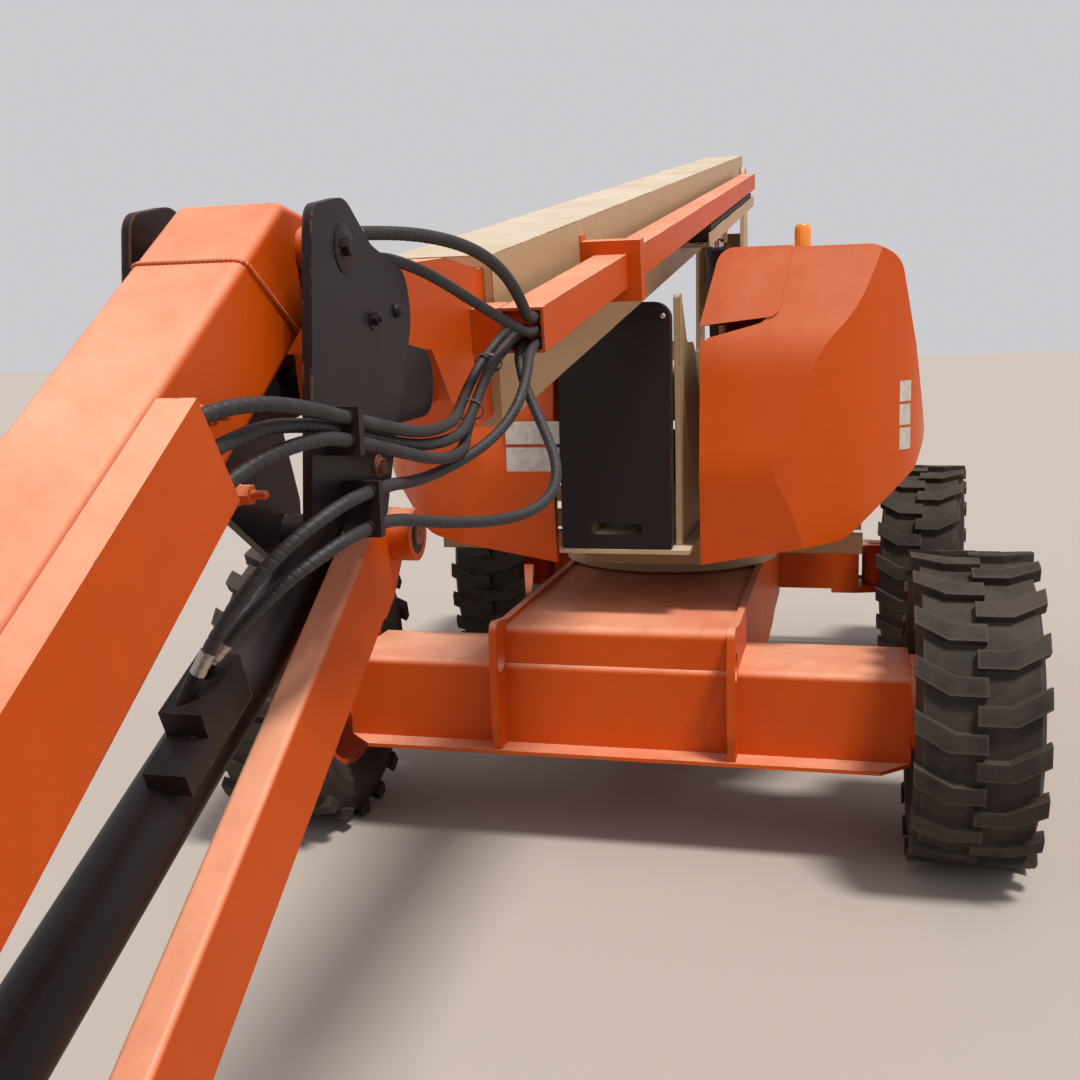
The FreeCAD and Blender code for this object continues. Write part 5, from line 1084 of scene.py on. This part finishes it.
@dataclass
class JibSeam:
    """The rippled weld bead across the jib's head, in the jib's own along, across and up."""

    pivot: Place = (1.696533, 0.0, 1.745)
    fall: float = 33.8
    half_width: float = 0.069
    half_height: float = 0.073
    edge: float = 0.012
    low: float = 0.076
    high: float = 0.144
    bead: float = 0.0032
    ripple: float = 0.16
    ripple_pitch: float = 0.0055
    step: float = 0.0009
    corner_points: int = 7
    sides: int = 10

    def build(self, shop: PaintShop) -> None:
        """Makes the bead: a circle whose radius ripples along the seam's line.

        Args:
            shop: where the finish comes from.
        """
        rise = self.half_height - self.edge
        share = (self.high - self.low) / (2.0 * self.half_height)
        turn = np.linspace(0.0, np.pi / 2.0, self.corner_points)
        side = self.half_width - self.edge + self.edge * np.cos(turn)
        up = rise + self.edge * np.sin(turn)
        lower = np.array(((self.half_width, -rise),))
        left = np.vstack((lower, np.column_stack((side, up))))
        rim = np.vstack((left, left[::-1] * (-1.0, 1.0)))
        along = self.low + (rim[:, 1] + self.half_height) * share
        local = np.column_stack((along, rim))
        steps = np.concatenate(([0.0], np.cumsum(np.linalg.norm(np.diff(local, axis=0), axis=1))))
        places = np.arange(0.0, steps[-1], self.step)
        line = np.column_stack([np.interp(places, steps, local[:, axis]) for axis in range(3)])
        fall = math.radians(self.fall)
        world_x = self.pivot[0] + line[:, 0] * math.cos(fall) + line[:, 2] * math.sin(fall)
        world_z = self.pivot[2] - line[:, 0] * math.sin(fall) + line[:, 2] * math.cos(fall)
        world = np.column_stack((world_x, line[:, 1], world_z))
        ahead = np.gradient(world, axis=0)
        ahead /= np.linalg.norm(ahead, axis=1, keepdims=True)
        first = np.cross(ahead, np.array((math.cos(fall), 0.0, -math.sin(fall))))
        first /= np.linalg.norm(first, axis=1, keepdims=True)
        second = np.cross(ahead, first)
        radius = self.bead * (1.0 + self.ripple * np.sin(2.0 * np.pi * places / self.ripple_pitch))
        angle = np.arange(self.sides) * 2.0 * np.pi / self.sides
        cosine = np.cos(angle)[None, :, None]
        sine = np.sin(angle)[None, :, None]
        ring = cosine * first[:, None] + sine * second[:, None]
        points = world[:, None] + radius[:, None, None] * ring
        gather = Gather()
        gather.add(points.reshape(-1, 3), tube_faces(len(world), self.sides), Surface.ORANGE)
        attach(gather.piece("jib_head_seam", shop), "jib")


@dataclass(frozen=True)
class Label:
    """A blank label: the plan points of its two upright edges, its foot, its top, and how far it bulges."""

    body: str
    start: tuple[float, float]
    end: tuple[float, float]
    foot: float
    top: float
    bulge: float


LABELS = (
    Label("hood_right", (-0.8715, -0.217), (-0.8715, -0.401), 1.271, 1.346, 0.0),
    Label("hood_right", (-0.8715, -0.218), (-0.8715, -0.400), 1.180, 1.260, 0.0),
    Label("hood_left", (-1.1502, 0.9032), (-1.0995, 0.8667), 1.383, 1.450, 0.0018),
    Label("hood_left", (-1.1502, 0.9032), (-1.0995, 0.8667), 1.306, 1.374, 0.0018),
    Label("hood_left", (-1.1525, 0.9045), (-1.1015, 0.8685), 1.226, 1.297, 0.0018),
)


class LabelSet:
    """The blank labels on the two hoods: thin sheets that follow the panel."""

    THICK = 0.0006
    LIFT = 0.0008
    UPRIGHTS = 9

    def __init__(self, shop: PaintShop) -> None:
        """Keeps the paint shop.

        Args:
            shop: where the finishes come from.
        """
        self.shop = shop

    def build(self) -> None:
        """Makes every label, each on its hood."""
        for number, label in enumerate(LABELS, 1):
            gather = Gather()
            gather.add(*self._sheet(label), Surface.LABEL)
            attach(gather.piece(f"blank_label_{number}", self.shop), label.body)

    def _sheet(self, label: Label) -> tuple[np.ndarray, list[list[int]]]:
        """A sheet between two uprights, pushed out by a parabola of the place between them.

        Args:
            label: the label.

        Returns:
            The points and faces of the closed sheet.
        """
        share = np.linspace(0.0, 1.0, self.UPRIGHTS)
        start = np.array(label.start)
        end = np.array(label.end)
        run = end - start
        outward = np.array((-run[1], run[0])) / np.linalg.norm(run)
        lift = self.LIFT + label.bulge * (1.0 - (2.0 * share - 1.0) ** 2)
        plan = start + share[:, None] * run
        inner = plan + (lift - self.THICK)[:, None] * outward
        outer = plan + lift[:, None] * outward
        loop = ((inner, label.foot), (outer, label.foot), (outer, label.top), (inner, label.top))
        edges = [np.column_stack((edge, np.full(len(share), level))) for edge, level in loop]
        points = np.stack(edges, axis=1)
        return points.reshape(-1, 3), [face[::-1] for face in tube_faces(len(share), len(loop))]


@dataclass
class BeaconLamp:
    """The amber beacon: a ribbed lens on a dark foot, in the place of its plain solid."""

    ribs: int = 22
    rib_depth: float = 0.0010
    foot: float = 0.026
    points_to_rib: int = 8

    def build(self, shop: PaintShop) -> None:
        """Makes the lens: a revolved profile whose radius follows the cosine of the ribs' angle.

        Args:
            shop: where the finishes come from.
        """
        low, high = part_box("beacon")
        centre = ((low[0] + high[0]) / 2.0, (low[1] + high[1]) / 2.0)
        radius = (high[0] - low[0]) / 2.0
        tall = high[2] - low[2]
        base = ((radius, 0.0, False), (radius, self.foot * 0.6, False),
                (radius * 0.9, self.foot, False))
        gather = Gather()
        gather.add(*turned_solid(base, (*centre, low[2]), (0.0, 0.0, 1.0), 36), Surface.PLASTIC)
        rows = np.array(((0.80, self.foot), (0.82, self.foot + 0.006), (0.80, tall * 0.45),
                         (0.79, tall * 0.84), (0.74, tall * 0.92), (0.60, tall * 0.975), (0.36, tall),
                         (0.06, tall)))
        sides = self.ribs * self.points_to_rib
        angle = np.arange(sides) * 2.0 * np.pi / sides
        groove = self.rib_depth * (0.5 - 0.5 * np.cos(self.ribs * angle))
        reach = rows[:, :1] * radius - groove[None, :]
        points = np.stack((centre[0] + reach * np.cos(angle), centre[1] + reach * np.sin(angle),
                           np.broadcast_to(low[2] + rows[:, 1:], reach.shape)), axis=-1)
        gather.add(points.reshape(-1, 3), tube_faces(len(rows), sides), Surface.LENS)
        lamp = gather.piece("ribbed_beacon", shop)
        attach(lamp, "hood_left")
        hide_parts("beacon")


def dress_nodes(shop: PaintShop) -> None:
    """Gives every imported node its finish."""
    for name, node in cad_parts.items():
        shop.dress(node, finish_of(name))
        log.info("dressed %s", name)


def main() -> None:
    """Builds the studio and dresses the machine."""
    logging.basicConfig(level=logging.INFO)
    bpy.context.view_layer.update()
    Studio().build(Viewpoint())
    shop = PaintShop()
    shop.open()
    dress_nodes(shop)
    HoseSet(shop).build()
    Fittings(shop).build()
    Bands(shop).build()
    JibSeam().build(shop)
    LabelSet(shop).build()
    BeaconLamp().build(shop)


if __name__ == "__main__":
    main()
